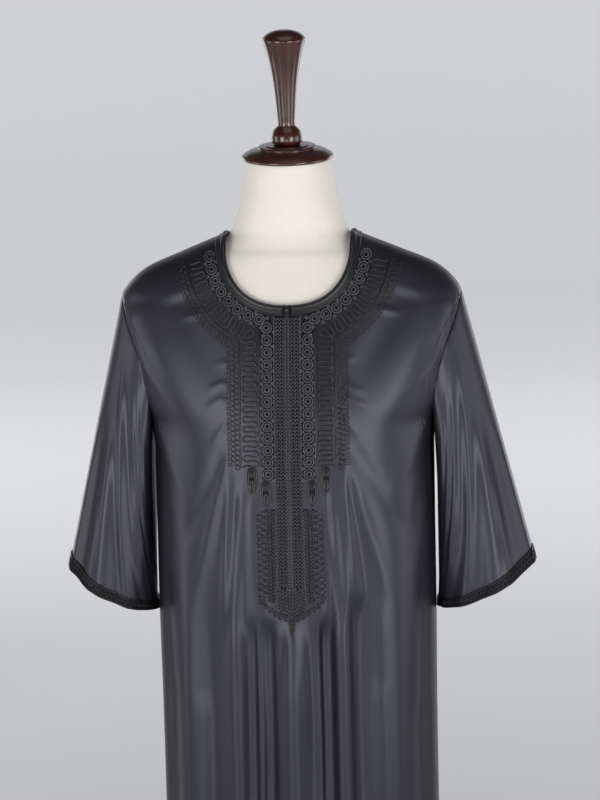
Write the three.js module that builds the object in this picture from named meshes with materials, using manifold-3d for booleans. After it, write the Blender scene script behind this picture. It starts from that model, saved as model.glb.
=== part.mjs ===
// A long, short-sleeved satin thobe with a braided front, worn on a limbless dress form that stands on a
// pole and a round base, and carries a turned wooden cap and finial on its neck.
// Millimetres, +Z up. The garment faces -Y, and the origin is on the floor, under the pole.
import * as THREE from "three";
import { mergeVertices } from "three/addons/utils/BufferGeometryUtils.js";
import Module from "manifold-3d";

const wasm = await Module();
wasm.setup();

// Driving dimensions
const CLOTH = 1.2; // wall of the satin
const SEAM = 0.4; // gap between two pieces that are sewn together
const ARMHOLE_SEAM = 0.8; // the same round the armhole, where both edges are curved
const SIDE_NECK_Z = 1480; // highest point of the cloth, where neckline meets shoulder seam
const NECK_HALF = 81; // half the neckline's width
const NECK_STAND = 10; // straight part of the neckline below the side neck
const NECK_DROP_FRONT = 88;
const NECK_DROP_BACK = 22;
const NECK_POWER = 2.3; // squareness of the neckline's curve
const SHOULDER_TIP_Z = 1400;
const UNDERARM_Z = 1228;
const CHEST_Z = 1205; // first full ring below the armholes
const HEM_Z = 90;

// The body of the garment, a ring for each height: half width, depth to the front and back, and squareness
const BODY_RINGS = [
  { z: 90, half: 232, front: 170, back: 166, power: 2.2 },
  { z: 400, half: 206, front: 153, back: 147, power: 2.25 },
  { z: 700, half: 184, front: 139, back: 129, power: 2.3 },
  { z: 850, half: 183.5, front: 136, back: 122, power: 2.35 },
  { z: 1000, half: 184.3, front: 135, back: 116, power: 2.35 },
  { z: 1100, half: 184, front: 134, back: 114, power: 2.3 },
  { z: 1200, half: 184, front: 132, back: 117, power: 2.25 },
  { z: 1235, half: 188, front: 129, back: 119, power: 2.2 },
  { z: 1260, half: 198, front: 126, back: 120, power: 2.2 },
  { z: 1300, half: 212, front: 118, back: 119, power: 2.15 },
  { z: 1340, half: 221, front: 108, back: 114, power: 2.1 },
  { z: 1380, half: 224, front: 95, back: 106, power: 2.05 },
  { z: 1400, half: 222, front: 88, back: 100, power: 2 },
  { z: 1416, half: 212, front: 83, back: 94, power: 2 },
  { z: 1434, half: 191, front: 77, back: 86, power: 2 },
  { z: 1455, half: 143, front: 70, back: 74, power: 2 },
  { z: 1480, half: 81, front: 60, back: 58, power: 2 },
];

// The armhole's edge between shoulder tip and underarm, as seen from the front
const ARMHOLE = [
  { z: 1380, x: 216.5 },
  { z: 1362, x: 211 },
  { z: 1335, x: 200 },
  { z: 1306, x: 190.5 },
  { z: 1280, x: 185.5 },
  { z: 1255, x: 183 },
  { z: 1240, x: 183.2 },
  { z: 1232, x: 184.8 },
];

// Folds of the skirt. at: place along the ring from the centre, right positive. rise: outward, or inward
// below zero. The fold begins at top and has its full rise at full.
const FRONT_FOLDS = [
  { at: -4, width: 17, rise: 5.5, top: 985, full: 880 },
  { at: -33, width: 9, rise: -4.5, top: 1130, full: 900 },
  { at: -56, width: 9, rise: -5, top: 1150, full: 940 },
  { at: -76, width: 12, rise: 5, top: 1200, full: 960 },
  { at: -108, width: 16, rise: -4, top: 1130, full: 800 },
  { at: -142, width: 17, rise: 5.5, top: 1180, full: 860 },
  { at: -186, width: 16, rise: -6, top: 1170, full: 900 },
  { at: 25, width: 9, rise: -4.5, top: 1130, full: 900 },
  { at: 48, width: 10, rise: -5.5, top: 1160, full: 940 },
  { at: 67, width: 11, rise: 6, top: 1200, full: 980 },
  { at: 98, width: 17, rise: -7, top: 1190, full: 920 },
  { at: 136, width: 20, rise: 5, top: 1170, full: 840 },
  { at: 186, width: 16, rise: -5, top: 1150, full: 880 },
];
const BACK_FOLDS = [
  { at: 0, width: 22, rise: -8, top: 1260, full: 980 },
  { at: -42, width: 20, rise: 6, top: 1240, full: 960 },
  { at: -86, width: 17, rise: -6, top: 1200, full: 900 },
  { at: -128, width: 20, rise: 6, top: 1180, full: 880 },
  { at: -176, width: 18, rise: -5, top: 1130, full: 850 },
  { at: 46, width: 20, rise: 6.5, top: 1250, full: 970 },
  { at: 92, width: 18, rise: -6, top: 1210, full: 920 },
  { at: 134, width: 19, rise: 5.5, top: 1160, full: 860 },
  { at: 180, width: 17, rise: -5, top: 1120, full: 840 },
];

// The skirt's folds deepen further below this height, and fade out beside the side seam.
const FOLD_GROWTH = { below: 700, over: 600, by: 0.5 };
const SEAM_FADE = { from: 0.86, over: 0.12 }; // shares of the quarter ring

// Folds of a sleeve. turn: degrees round the tube from its outer line, front first. They grow to the cuff.
const SLEEVE_FOLDS = [
  { turn: 38, width: 15, rise: -2 },
  { turn: 66, width: 16, rise: 2.5 },
  { turn: 98, width: 15, rise: -2 },
  { turn: 128, width: 15, rise: 2 },
  { turn: 232, width: 17, rise: 2.5 },
  { turn: 268, width: 17, rise: -2.5 },
  { turn: 308, width: 18, rise: 2.5 },
];
// Each cuff's middle, and its outer end from there, both on the +X side. The right sleeve hangs a little closer.
const CUFF_PLACES = {
  left: { centre: new THREE.Vector3(251.3, -4, 1012.5), across: new THREE.Vector3(63.5, 0, 31) },
  right: { centre: new THREE.Vector3(245.7, -4, 1011), across: new THREE.Vector3(57.9, 0, 29.5) },
};
const CUFF = {
  depth: 58,
  sag: 8,
  braid: 13, // height of the braid sewn round the cuff
  braidThick: 1.5,
  overhang: 1.2, // of the braid, beyond the sleeve's edge
};

// Embroidery of the front, measured outwards from the neck edge along the yoke, and from the zip below it
const ZIP_SLIT = 1.7; // half the slit
const ZIP_END_Z = 1036;
const SLIDER_NOTCH = { half: 2.6, floor: 1380 }; // the slit is wider round the slider
const BINDING = { inner: 0.7, width: 12.6, base: 0.8, thick: 1.3 };
const YOKE = { inner: 13.2, outer: 58, column: 73, bottom: 1190, end: 1458, slope: -0.3 };
const PLACKET_HALF = 17.2;
const ROSETTES = { offset: 21, column: 25.8, bottom: 1182, radius: 6.8, pitch: 15.4, thick: 0.8 };
const SERPENTINE = { offset: 40, column: 48.5, bottom: 1188, reach: 8.8, pitch: 13.6, bulge: 0.9 };
const BRAID_CORNER = { points: 12, drop: 12 }; // the rounded corner between yoke and chest
const PICOT_PITCH = 7.4;
const PICOT_RADIUS = 3.6;
const PODS = [
  { x: 47, top: 1192, bottom: 1158, half: 7.4 },
  { x: 28.5, top: 1176, bottom: 1141, half: 8 },
];
const TONGUE = { half: 37.5, top: 1136, sides: 1022, tip: 972 };
const TONGUE_FOOT = [
  { x: 36.5, z: 1019 },
  { x: 30, z: 1010 },
  { x: 22, z: 1004 },
  { x: 13, z: 1000 },
  { x: 6.5, z: 998 },
  { x: 4.4, z: 984 },
  { x: 2.6, z: 978 },
  { x: 2.4, z: 973.5 },
];
const EMBROIDERY = { base: 0.4, thick: 0.9 }; // above the satin
const PLACKET_THICK = 1.4;
const CORD = { base: 2.15, height: 1.6, width: 2.6, steps: 6 }; // steps to each bend

// The dress form under the cloth
const FORM_RINGS = [
  { z: 800, half: 152, front: 88, back: 92, power: 2.3 },
  { z: 860, half: 164, front: 98, back: 104, power: 2.3 },
  { z: 930, half: 168, front: 104, back: 106, power: 2.3 },
  { z: 1010, half: 158, front: 100, back: 96, power: 2.3 },
  { z: 1090, half: 150, front: 98, back: 88, power: 2.3 },
  { z: 1170, half: 162, front: 108, back: 96, power: 2.3 },
  { z: 1235, half: 174, front: 114, back: 106, power: 2.2 },
  { z: 1300, half: 192, front: 110, back: 108, power: 2.1 },
  { z: 1340, half: 206, front: 103, back: 105, power: 2.1 },
  { z: 1370, half: 214, front: 94.5, back: 100, power: 2 },
  { z: 1396, half: 213.5, front: 82, back: 92, power: 2 },
  { z: 1412, half: 205.5, front: 77, back: 86.5, power: 2 },
  { z: 1430, half: 184, front: 71, back: 78.5, power: 2 },
  { z: 1450, half: 138, front: 64.5, back: 68, power: 2 },
  { z: 1462, half: 104, front: 58, back: 57, power: 2 },
  { z: 1480, half: 76.5, front: 55, back: 51, power: 2 },
  { z: 1512, half: 66, front: 58, back: 53, power: 2 },
  { z: 1545, half: 60, front: 60, back: 48, power: 2 },
  { z: 1574, half: 57, front: 64, back: 42, power: 2 },
];
const NECK_LEAN = THREE.MathUtils.degToRad(8); // the neck's top slopes down to the front
const NECK_TOP = new THREE.Vector3(0, -11, 1574);
const POLE = { radius: 14, floor: 28 };
const BASE = { radius: 190, height: 28 };

// Numbers of cells
const FRONT_COLUMNS = { neck: 8, shoulder: 4, armhole: 5 };
const BACK_COLUMNS = { neck: 4, shoulder: 4, armhole: 5 };
const UPPER_ROWS = 9;
const FIRST_ROW = 12.6; // from the upper edge to the first row of points
const FRONT_SKIRT_ROWS = 13;
const BACK_SKIRT_ROWS = 11;
const SLEEVE_ROWS = 9;
const FORM_SEGMENTS = 26;
const TURNED_SEGMENTS = 22;
const BASE_SEGMENTS = 32;
const SHARE_AT_NECK = 0.32; // share of the quarter ring that hangs from the neckline
const SHARE_AT_SHOULDER = 0.74;
const ROW_SPREAD = 1.15; // rows stand closer near the top

const vec = (x, y, z) => new THREE.Vector3(x, y, z);
const smooth = (t) => {
  const k = Math.min(1, Math.max(0, t));
  return k * k * (3 - 2 * k);
};

// A smooth curve through a table's column, which never swings past its values.
function profile(table, at, key) {
  const x = table.map((row) => row[at]);
  const y = table.map((row) => row[key]);
  const slope = x.slice(1).map((v, i) => (y[i + 1] - y[i]) / (v - x[i]));
  const tangent = x.map((_, i) => {
    const before = slope[i - 1] ?? slope[i];
    const after = slope[i] ?? slope[i - 1];
    return before * after <= 0 ? 0 : (2 * before * after) / (before + after);
  });
  return (v) => {
    const clamped = Math.min(Math.max(v, x[0]), x[x.length - 1]);
    let i = 0;
    while (i < x.length - 2 && clamped > x[i + 1]) {
      i++;
    }
    const width = x[i + 1] - x[i];
    const t = (clamped - x[i]) / width;
    const bend = t * t * (3 - 2 * t);
    return (
      y[i] * (1 - bend) + y[i + 1] * bend +
      width * (tangent[i] * t * (1 - t) ** 2 - tangent[i + 1] * t * t * (1 - t))
    );
  };
}

const bodyHalf = profile(BODY_RINGS, "z", "half");
const bodyPower = profile(BODY_RINGS, "z", "power");
const bodyDepth = { front: profile(BODY_RINGS, "z", "front"), back: profile(BODY_RINGS, "z", "back") };

// The cloth's depth at a place seen from the front, without folds.
function clothY(x, z, side) {
  const power = bodyPower(z);
  const share = Math.max(0, 1 - Math.pow(Math.abs(x) / bodyHalf(z), power));
  const depth = bodyDepth[side](z) * Math.pow(share, 1 / power);
  return side === "front" ? -depth : depth;
}
const onCloth = (x, z, side) => vec(x, clothY(x, z, side), z);

// Zero on the plain cloth, more outside it and less inside.
function level(p) {
  const power = bodyPower(p.z);
  const depth = bodyDepth[p.y < 0 ? "front" : "back"](p.z);
  return Math.pow(Math.abs(p.x) / bodyHalf(p.z), power) + Math.pow(Math.abs(p.y) / depth, power) - 1;
}

function levelSlope(p) {
  const beside = (axis, by) => level(p.clone().addScaledVector(axis, by));
  const along = (axis) => beside(axis, 0.5) - beside(axis, -0.5);
  return vec(along(vec(1, 0, 0)), along(vec(0, 1, 0)), along(vec(0, 0, 1)));
}

// The direction out of the plain cloth at a point on it.
const plainNormal = (p) => levelSlope(p).normalize();

// The length along a line of points, from its start to each of them
function runAlong(points) {
  const run = [0];
  points.slice(1).forEach((p, k) => run.push(run[k] + p.distanceTo(points[k])));
  return run;
}

// The place at a length along such a line, and the number of the piece it is on
function placeAt(points, run, goal) {
  let k = 0;
  while (k < points.length - 2 && run[k + 1] < goal) {
    k++;
  }
  const t = (goal - run[k]) / Math.max(1e-9, run[k + 1] - run[k]);
  return { point: points[k].clone().lerp(points[k + 1], Math.min(1, t)), piece: k };
}

// Points along a curve of t, at lengths that goals works out from the whole length
function placed(curve, goals) {
  const fine = 240;
  const points = Array.from({ length: fine + 1 }, (_, k) => curve(k / fine));
  const run = runAlong(points);
  return goals(run[fine]).map((goal) => placeAt(points, run, goal).point);
}
const steps = (count) => Array.from({ length: count + 1 }, (_, n) => n / count);
const spaced = (curve, count) => placed(curve, (length) => steps(count).map((share) => share * length));

// The neckline, from the centre at t = 0 to the side neck at t = 1.
function necklineAt(t, side) {
  const angle = (t * Math.PI) / 2;
  const x = NECK_HALF * Math.pow(Math.sin(angle), 2 / NECK_POWER);
  const rise = Math.pow(Math.cos(angle), 2 / NECK_POWER);
  const front = SIDE_NECK_Z - NECK_STAND * (1 - t ** 4) - (NECK_DROP_FRONT - NECK_STAND) * rise;
  const z = side === "front" ? front : SIDE_NECK_Z - NECK_DROP_BACK * rise;
  return onCloth(x, z, side);
}

const shoulderAt = (t) => {
  const z = SIDE_NECK_Z + (SHOULDER_TIP_Z - SIDE_NECK_Z) * t;
  return vec(bodyHalf(z), 0, z);
};

const armholeX = profile(
  [
    { z: UNDERARM_Z, x: bodyHalf(UNDERARM_Z) },
    ...ARMHOLE.slice().reverse(),
    { z: SHOULDER_TIP_Z, x: bodyHalf(SHOULDER_TIP_Z) },
  ],
  "z",
  "x",
);
const armholeAt = (t, side) => {
  const z = SHOULDER_TIP_Z + (UNDERARM_Z - SHOULDER_TIP_Z) * smooth(t);
  const end = t < 1e-9 || t > 1 - 1e-9;
  return end ? vec(bodyHalf(z), 0, z) : onCloth(armholeX(z), z, side);
};

// A place on the quarter ring at height z, share 0 at the centre and 1 at the side seam.
function ringPlace(z, side, share) {
  const curve = (t) => {
    const angle = (t * Math.PI) / 2;
    const power = 2 / bodyPower(z);
    const depth = bodyDepth[side](z) * Math.pow(Math.cos(angle), power);
    const x = t > 1 - 1e-9 ? bodyHalf(z) : bodyHalf(z) * Math.pow(Math.sin(angle), power);
    return vec(x, (side === "front" ? -1 : 1) * (t > 1 - 1e-9 ? 0 : depth), z);
  };
  const fine = 90;
  const points = Array.from({ length: fine + 1 }, (_, k) => curve(k / fine));
  const run = runAlong(points);
  const along = share * run[fine];
  return { point: placeAt(points, run, along).point, along };
}

// How far the folds move a place out of the plain ring.
function foldRise(folds, along, share, z) {
  const faded = 1 - smooth((share - SEAM_FADE.from) / SEAM_FADE.over);
  const deepened = 1 + FOLD_GROWTH.by * smooth((FOLD_GROWTH.below - z) / FOLD_GROWTH.over);
  const total = folds.reduce((sum, fold) => {
    const distance = (along - fold.at) / fold.width;
    const begun = smooth((fold.top - z) / (fold.top - fold.full));
    return sum + fold.rise * begun * Math.exp(-distance * distance);
  }, 0);
  return total * deepened * faded;
}

// The outer points of the front or back panel: rows run down from the top edge, columns from -X to +X.
function panelPoints(side, columns, skirtRows, folds) {
  const joinColumn = columns.neck + columns.shoulder;
  const top = [
    ...spaced((t) => necklineAt(t, side), columns.neck),
    ...spaced(shoulderAt, columns.shoulder).slice(1),
    ...spaced((t) => armholeAt(t, side), columns.armhole).slice(1),
  ];
  const last = top.length - 1;
  const shareOf = (i) => {
    if (i <= columns.neck) return (SHARE_AT_NECK * i) / columns.neck;
    if (i <= joinColumn) {
      return SHARE_AT_NECK + ((SHARE_AT_SHOULDER - SHARE_AT_NECK) * (i - columns.neck)) / columns.shoulder;
    }
    return SHARE_AT_SHOULDER + ((1 - SHARE_AT_SHOULDER) * (i - joinColumn)) / columns.armhole;
  };
  const half = top.map((start, i) => {
    const share = shareOf(i);
    const foot = ringPlace(CHEST_Z, side, share).point;
    const swing = i > joinColumn ? 3 : 1.5; // columns from the armhole turn inwards sooner
    const column = (t) => {
      const z = start.z + (CHEST_Z - start.z) * t;
      if (i === last) return vec(bodyHalf(z), 0, z);
      const x = foot.x + (start.x - foot.x) * Math.pow(1 - t, swing);
      return t < 1e-9 ? start.clone() : onCloth(x, z, side);
    };
    const upper = placed(column, (length) => {
      const first = Math.min(FIRST_ROW, length / 3);
      const share = (part) => Math.pow(part, ROW_SPREAD);
      return [0, ...steps(UPPER_ROWS - 1).map((part) => first + (length - first) * share(part))];
    });
    const lower = Array.from({ length: skirtRows }, (_, k) => {
      const z = CHEST_Z + ((HEM_Z - CHEST_Z) * (k + 1)) / skirtRows;
      return ringPlace(z, side, share).point;
    });
    return [...upper, ...lower];
  });
  const rows = half[0].length;
  const chestRun = ringPlace(CHEST_Z, side, 1).along;
  const outward = (p, q) => {
    const power = bodyPower(p.z);
    const depth = bodyDepth[side](p.z);
    const nx = Math.sign(p.x) * Math.pow(Math.abs(p.x) / bodyHalf(p.z), power - 1) / bodyHalf(p.z);
    const ny = (side === "front" ? -1 : 1) * Math.pow(Math.abs(p.y) / depth, power - 1) / depth;
    return vec(nx, ny, 0).normalize().multiplyScalar(q);
  };
  const seamShift = (side === "front" ? -0.5 : 0.5) * SEAM;
  return Array.from({ length: rows }, (_, j) =>
    Array.from({ length: 2 * last + 1 }, (_, c) => {
      const i = Math.abs(c - last);
      const sign = Math.sign(c - last) || 1;
      const base = half[i][j];
      const p = vec(sign * base.x, base.y, base.z);
      const rise = foldRise(folds, sign * shareOf(i) * chestRun, shareOf(i), p.z);
      if (Math.abs(rise) > 1e-6) p.add(outward(p, rise));
      return p.setY(p.y + seamShift);
    }),
  );
}

// Directions out of a grid of points. Where wrap is set, the last column is followed by the first.
function gridNormals(rows, flip, wrap = false) {
  const count = rows[0].length;
  return rows.map((row, j) =>
    row.map((_, i) => {
      const left = wrap ? row[(i + count - 1) % count] : row[Math.max(0, i - 1)];
      const right = wrap ? row[(i + 1) % count] : row[Math.min(count - 1, i + 1)];
      const up = rows[Math.max(0, j - 1)][i];
      const down = rows[Math.min(rows.length - 1, j + 1)][i];
      const across = right.clone().sub(left);
      return across.cross(up.clone().sub(down)).normalize().multiplyScalar(flip);
    }),
  );
}

const moved = (rows, normals, by) =>
  rows.map((row, j) => row.map((p, i) => p.clone().addScaledVector(normals[j][i], by)));

// Whether a panel's cell is cut along its other diagonal: the two halves mirror each other, and cells that
// hang from the armhole are cut the other way from those that hang from the neck and the shoulder.
function otherDiagonal(i, cells, armholeFrom) {
  const onRight = i >= cells / 2;
  const fromMiddle = onRight ? i - cells / 2 : cells / 2 - 1 - i;
  return onRight === fromMiddle >= armholeFrom;
}

// A closed wall between two grids of points, a tube where armholeFrom isn't given.
function wallBetween(outer, inner, armholeFrom) {
  const wrap = armholeFrom === undefined;
  const rows = outer.length;
  const count = outer[0].length;
  const flat = [...outer.flat(), ...inner.flat()];
  const id = (layer, j, i) => layer * rows * count + j * count + (i % count);
  const faces = [];
  const quad = (a, b, c, d, other) => faces.push(...(other ? [b, c, d, b, d, a] : [a, b, c, a, c, d]));
  const cells = wrap ? count : count - 1;
  for (let j = 0; j < rows - 1; j++) {
    for (let i = 0; i < cells; i++) {
      const other = !wrap && otherDiagonal(i, cells, armholeFrom);
      quad(id(0, j, i), id(0, j + 1, i), id(0, j + 1, i + 1), id(0, j, i + 1), other);
      quad(id(1, j, i), id(1, j, i + 1), id(1, j + 1, i + 1), id(1, j + 1, i), other);
    }
    if (!wrap) {
      quad(id(0, j, 0), id(1, j, 0), id(1, j + 1, 0), id(0, j + 1, 0));
      quad(id(0, j, cells), id(0, j + 1, cells), id(1, j + 1, cells), id(1, j, cells));
    }
  }
  for (let i = 0; i < cells; i++) {
    quad(id(0, 0, i), id(0, 0, i + 1), id(1, 0, i + 1), id(1, 0, i));
    quad(id(0, rows - 1, i), id(1, rows - 1, i), id(1, rows - 1, i + 1), id(0, rows - 1, i + 1));
  }
  return facingOut(flat, faces);
}

// A geometry whose faces point out, whichever way round its list was made.
function facingOut(points, faces) {
  let volume = 0;
  for (let k = 0; k < faces.length; k += 3) {
    const [a, b, c] = faces.slice(k, k + 3).map((index) => points[index]);
    volume += a.dot(b.clone().cross(c));
  }
  if (volume < 0) {
    for (let k = 0; k < faces.length; k += 3) {
      const second = faces[k + 1];
      faces[k + 1] = faces[k + 2];
      faces[k + 2] = second;
    }
  }
  const geometry = new THREE.BufferGeometry();
  geometry.setAttribute("position", new THREE.Float32BufferAttribute(points.flatMap((p) => p.toArray()), 3));
  return geometry.setIndex(faces);
}

function toSolid(geometry) {
  const bare = geometry.clone();
  bare.deleteAttribute("normal");
  bare.deleteAttribute("uv");
  const merged = mergeVertices(bare, 1e-4);
  return new wasm.Manifold(
    new wasm.Mesh({
      numProp: 3,
      vertProperties: new Float32Array(merged.attributes.position.array),
      triVerts: new Uint32Array(merged.index.array),
    }),
  );
}

function toGeometry(solid) {
  const mesh = solid.getMesh();
  const geometry = new THREE.BufferGeometry();
  geometry.setAttribute("position", new THREE.BufferAttribute(new Float32Array(mesh.vertProperties), 3));
  return geometry.setIndex(new THREE.BufferAttribute(new Uint32Array(mesh.triVerts), 1));
}

// An outline drawn in the front view and pushed through the cloth, or mirrored first where sign is -1.
function prism(outline, side = "front", sign = 1) {
  const shape = new THREE.Shape(outline.map((p) => new THREE.Vector2(sign * p.x, p.z)));
  const block = new THREE.ExtrudeGeometry(shape, { depth: 200, bevelEnabled: false, steps: 1 });
  return toSolid(block.rotateX(Math.PI / 2).translate(0, side === "front" ? 4 : 196, 0));
}

// Front and back panels
const front = panelPoints("front", FRONT_COLUMNS, FRONT_SKIRT_ROWS, FRONT_FOLDS);
const back = panelPoints("back", BACK_COLUMNS, BACK_SKIRT_ROWS, BACK_FOLDS);
const panelNormals = (rows, side) => {
  const columns = side === "front" ? FRONT_COLUMNS : BACK_COLUMNS;
  const middle = (rows[0].length - 1) / 2;
  return gridNormals(rows, side === "front" ? 1 : -1).map((row, j) =>
    row.map((draped, c) => {
      const i = Math.abs(c - middle);
      const normal = j < UPPER_ROWS ? plainNormal(rows[j][c]) : draped;
      const onSeam = i === middle || (j === 0 && i >= columns.neck && i <= columns.neck + columns.shoulder);
      return onSeam ? normal.setY(0).normalize() : normal;
    }),
  );
};
const frontNormals = panelNormals(front, "front");
const backNormals = panelNormals(back, "back");

// A layer on a panel, made from its points moved out, down to the height where its embroidery ends.
function layerOn(side, from, to, bottom) {
  const [panel, directions, columns] =
    side === "front" ? [front, frontNormals, FRONT_COLUMNS] : [back, backNormals, BACK_COLUMNS];
  const middle = (panel[0].length - 1) / 2;
  const rows = panel.findIndex((row) => row[middle].z < bottom) + 1;
  const span = columns.neck + columns.shoulder;
  const part = (grid) => grid.slice(0, rows).map((row) => row.slice(middle - span, middle + span + 1));
  const points = part(panel).map((row) => row.map((p) => p.clone()));
  const normals = part(directions);
  points[0].forEach((p, c) => {
    if (Math.abs(c - span) >= columns.neck) p.setY(0);
  });
  return toSolid(wallBetween(moved(points, normals, to), moved(points, normals, from), span));
}

// A place on the front panel's own facets, with the direction out of them.
function onFront(x, z) {
  for (let j = 0; j < front.length - 1; j++) {
    for (let i = 0; i < front[0].length - 1; i++) {
      const corner = [[j, i], [j + 1, i], [j + 1, i + 1], [j, i + 1]];
      const other = otherDiagonal(i, front[0].length - 1, FRONT_COLUMNS.neck + FRONT_COLUMNS.shoulder);
      for (const pick of other ? [[1, 2, 3], [1, 3, 0]] : [[0, 1, 2], [0, 2, 3]]) {
        const [a, b, c] = pick.map((k) => front[corner[k][0]][corner[k][1]]);
        const area = (b.x - a.x) * (c.z - a.z) - (c.x - a.x) * (b.z - a.z);
        const v = ((x - a.x) * (c.z - a.z) - (c.x - a.x) * (z - a.z)) / area;
        const w = ((b.x - a.x) * (z - a.z) - (x - a.x) * (b.z - a.z)) / area;
        if (v < -1e-6 || w < -1e-6 || v + w > 1 + 1e-6) continue;
        const normal = vec(0, 0, 0);
        [1 - v - w, v, w].forEach((share, k) => {
          normal.addScaledVector(frontNormals[corner[pick[k]][0]][corner[pick[k]][1]], share);
        });
        return { point: vec(x, a.y + v * (b.y - a.y) + w * (c.y - a.y), z), normal: normal.normalize() };
      }
    }
  }
  throw new Error(`no cloth at ${x}, ${z}`);
}

// Sleeves: a tube from the armhole to the cuff, on the +X side
const armRing = (() => {
  const edge = (rows, columns) => {
    const middle = (rows[0].length - 1) / 2;
    const from = middle + columns.neck + columns.shoulder;
    return rows[0].slice(from, from + columns.armhole + 1).map((p) => p.clone());
  };
  const frontEdge = edge(front, FRONT_COLUMNS);
  const backEdge = edge(back, BACK_COLUMNS);
  const ring = [...frontEdge, ...backEdge.slice(1, -1).reverse()];
  [0, FRONT_COLUMNS.armhole].forEach((k) => ring[k].setY(0));
  return ring.flatMap((p, k) => [p, p.clone().lerp(ring[(k + 1) % ring.length], 0.5)]);
})();

function sleevePoints({ centre, across }) {
  const count = armRing.length;
  const cuffPlace = (k) => {
    const turn = (2 * Math.PI * k) / count;
    return centre.clone()
      .addScaledVector(across, Math.cos(turn))
      .add(vec(0, -CUFF.depth * Math.sin(turn), -CUFF.sag * Math.sin(turn) ** 2));
  };
  const plain = Array.from({ length: SLEEVE_ROWS + 1 }, (_, j) =>
    armRing.map((start, k) => {
      const hem = cuffPlace(k);
      const length = start.distanceTo(hem);
      const braidTop = 1 - CUFF.braid / length;
      const t = j === SLEEVE_ROWS ? 1 : braidTop * Math.pow(j / (SLEEVE_ROWS - 1), ROW_SPREAD);
      return start.clone().lerp(hem, t);
    }),
  );
  const normals = gridNormals(plain, -1, true);
  const draped = plain.map((row, j) =>
    row.map((p, k) => {
      const turn = (360 * k) / count;
      const grown = smooth(j / (SLEEVE_ROWS - 1));
      const rise = SLEEVE_FOLDS.reduce((sum, fold) => {
        const distance = (turn - fold.turn) / fold.width;
        return sum + fold.rise * Math.exp(-distance * distance);
      }, 0);
      return p.clone().addScaledVector(normals[j][k], rise * grown);
    }),
  );
  // The seam: the first ring stands just off the armhole's edge, on the side where the sleeve leaves it.
  const walls = moved(draped, gridNormals(draped, -1, true), -CLOTH);
  draped[0] = draped[0].map((p, k) => {
    const tangent = armRing[(k + 1) % count].clone().sub(armRing[(k + count - 1) % count]).normalize();
    const panel = plainNormal(p);
    const away = tangent.clone().cross(panel).normalize();
    const hole = armRing[(k + count / 2) % count].clone().sub(p);
    if (away.dot(hole) < 0) {
      away.negate();
    }
    const leaving = draped[1][k].clone().sub(p).projectOnPlane(tangent).normalize();
    const turn = Math.atan2(leaving.dot(panel), leaving.dot(away));
    const gap = away.clone().multiplyScalar(Math.cos(turn / 2)).addScaledVector(panel, Math.sin(turn / 2));
    const start = p.clone().addScaledVector(gap, ARMHOLE_SEAM);
    const inward = away.clone().multiplyScalar(Math.sin(turn)).addScaledVector(panel, -Math.cos(turn));
    if (inward.dot(away) < 0) {
      inward.copy(panel).negate();
    }
    walls[0][k] = start.clone().addScaledVector(inward, CLOTH);
    return start;
  });
  return { outer: draped, inner: walls };
}
const sleeves = { left: sleevePoints(CUFF_PLACES.left), right: sleevePoints(CUFF_PLACES.right) };
const sleeveWall = (sleeve) => wallBetween(sleeve.outer, sleeve.inner);

function cuffBraid(sleeve) {
  const rows = sleeve.outer.slice(-2);
  const edge = rows[1].map((p, k) => {
    const down = p.clone().sub(rows[0][k]).normalize();
    return p.clone().addScaledVector(down, CUFF.overhang);
  });
  const band = [rows[0], edge];
  const normals = gridNormals(band, -1, true);
  return wallBetween(moved(band, normals, SEAM + CUFF.braidThick), moved(band, normals, SEAM));
}

const mirrored = (geometry) => {
  const points = [];
  const from = geometry.attributes.position;
  for (let k = 0; k < from.count; k++) {
    points.push(vec(-from.getX(k), from.getY(k), from.getZ(k)));
  }
  return facingOut(points, Array.from(geometry.index.array));
};

// Paths of the embroidery in the front view, on the +X side
function neckOffset(t, offset, side = "front") {
  const step = 1e-3;
  const a = necklineAt(Math.max(0, t - step), side);
  const b = necklineAt(Math.min(1, t + step), side);
  const along = vec(b.x - a.x, 0, b.z - a.z).normalize();
  const p = necklineAt(t, side);
  return vec(p.x + offset * along.z, 0, p.z - offset * along.x);
}

// A braid round the neck edge, open at the zip
function neckBinding() {
  const piece = (side, count) => {
    const edge = (offset) => {
      const curve = steps(count).map((t) => neckOffset(t, offset, side));
      return [...curve, vec(NECK_HALF + offset, 0, SIDE_NECK_Z + 20)];
    };
    const half = [...edge(BINDING.width), ...edge(BINDING.inner).reverse()];
    const outline = [...half, ...half.slice(1, -1).reverse().map((p) => vec(-p.x, 0, p.z))];
    const layer = layerOn(side, BINDING.base, BINDING.base + BINDING.thick, SLIDER_NOTCH.floor - 20);
    return layer.intersect(prism(outline, side));
  };
  const opening = 2 * (SLIDER_NOTCH.half + 0.2);
  const gap = toSolid(new THREE.BoxGeometry(opening, 120, 60).translate(0, -100, SLIDER_NOTCH.floor));
  return toGeometry(piece("front", 12).add(piece("back", 7)).subtract(gap));
}

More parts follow.
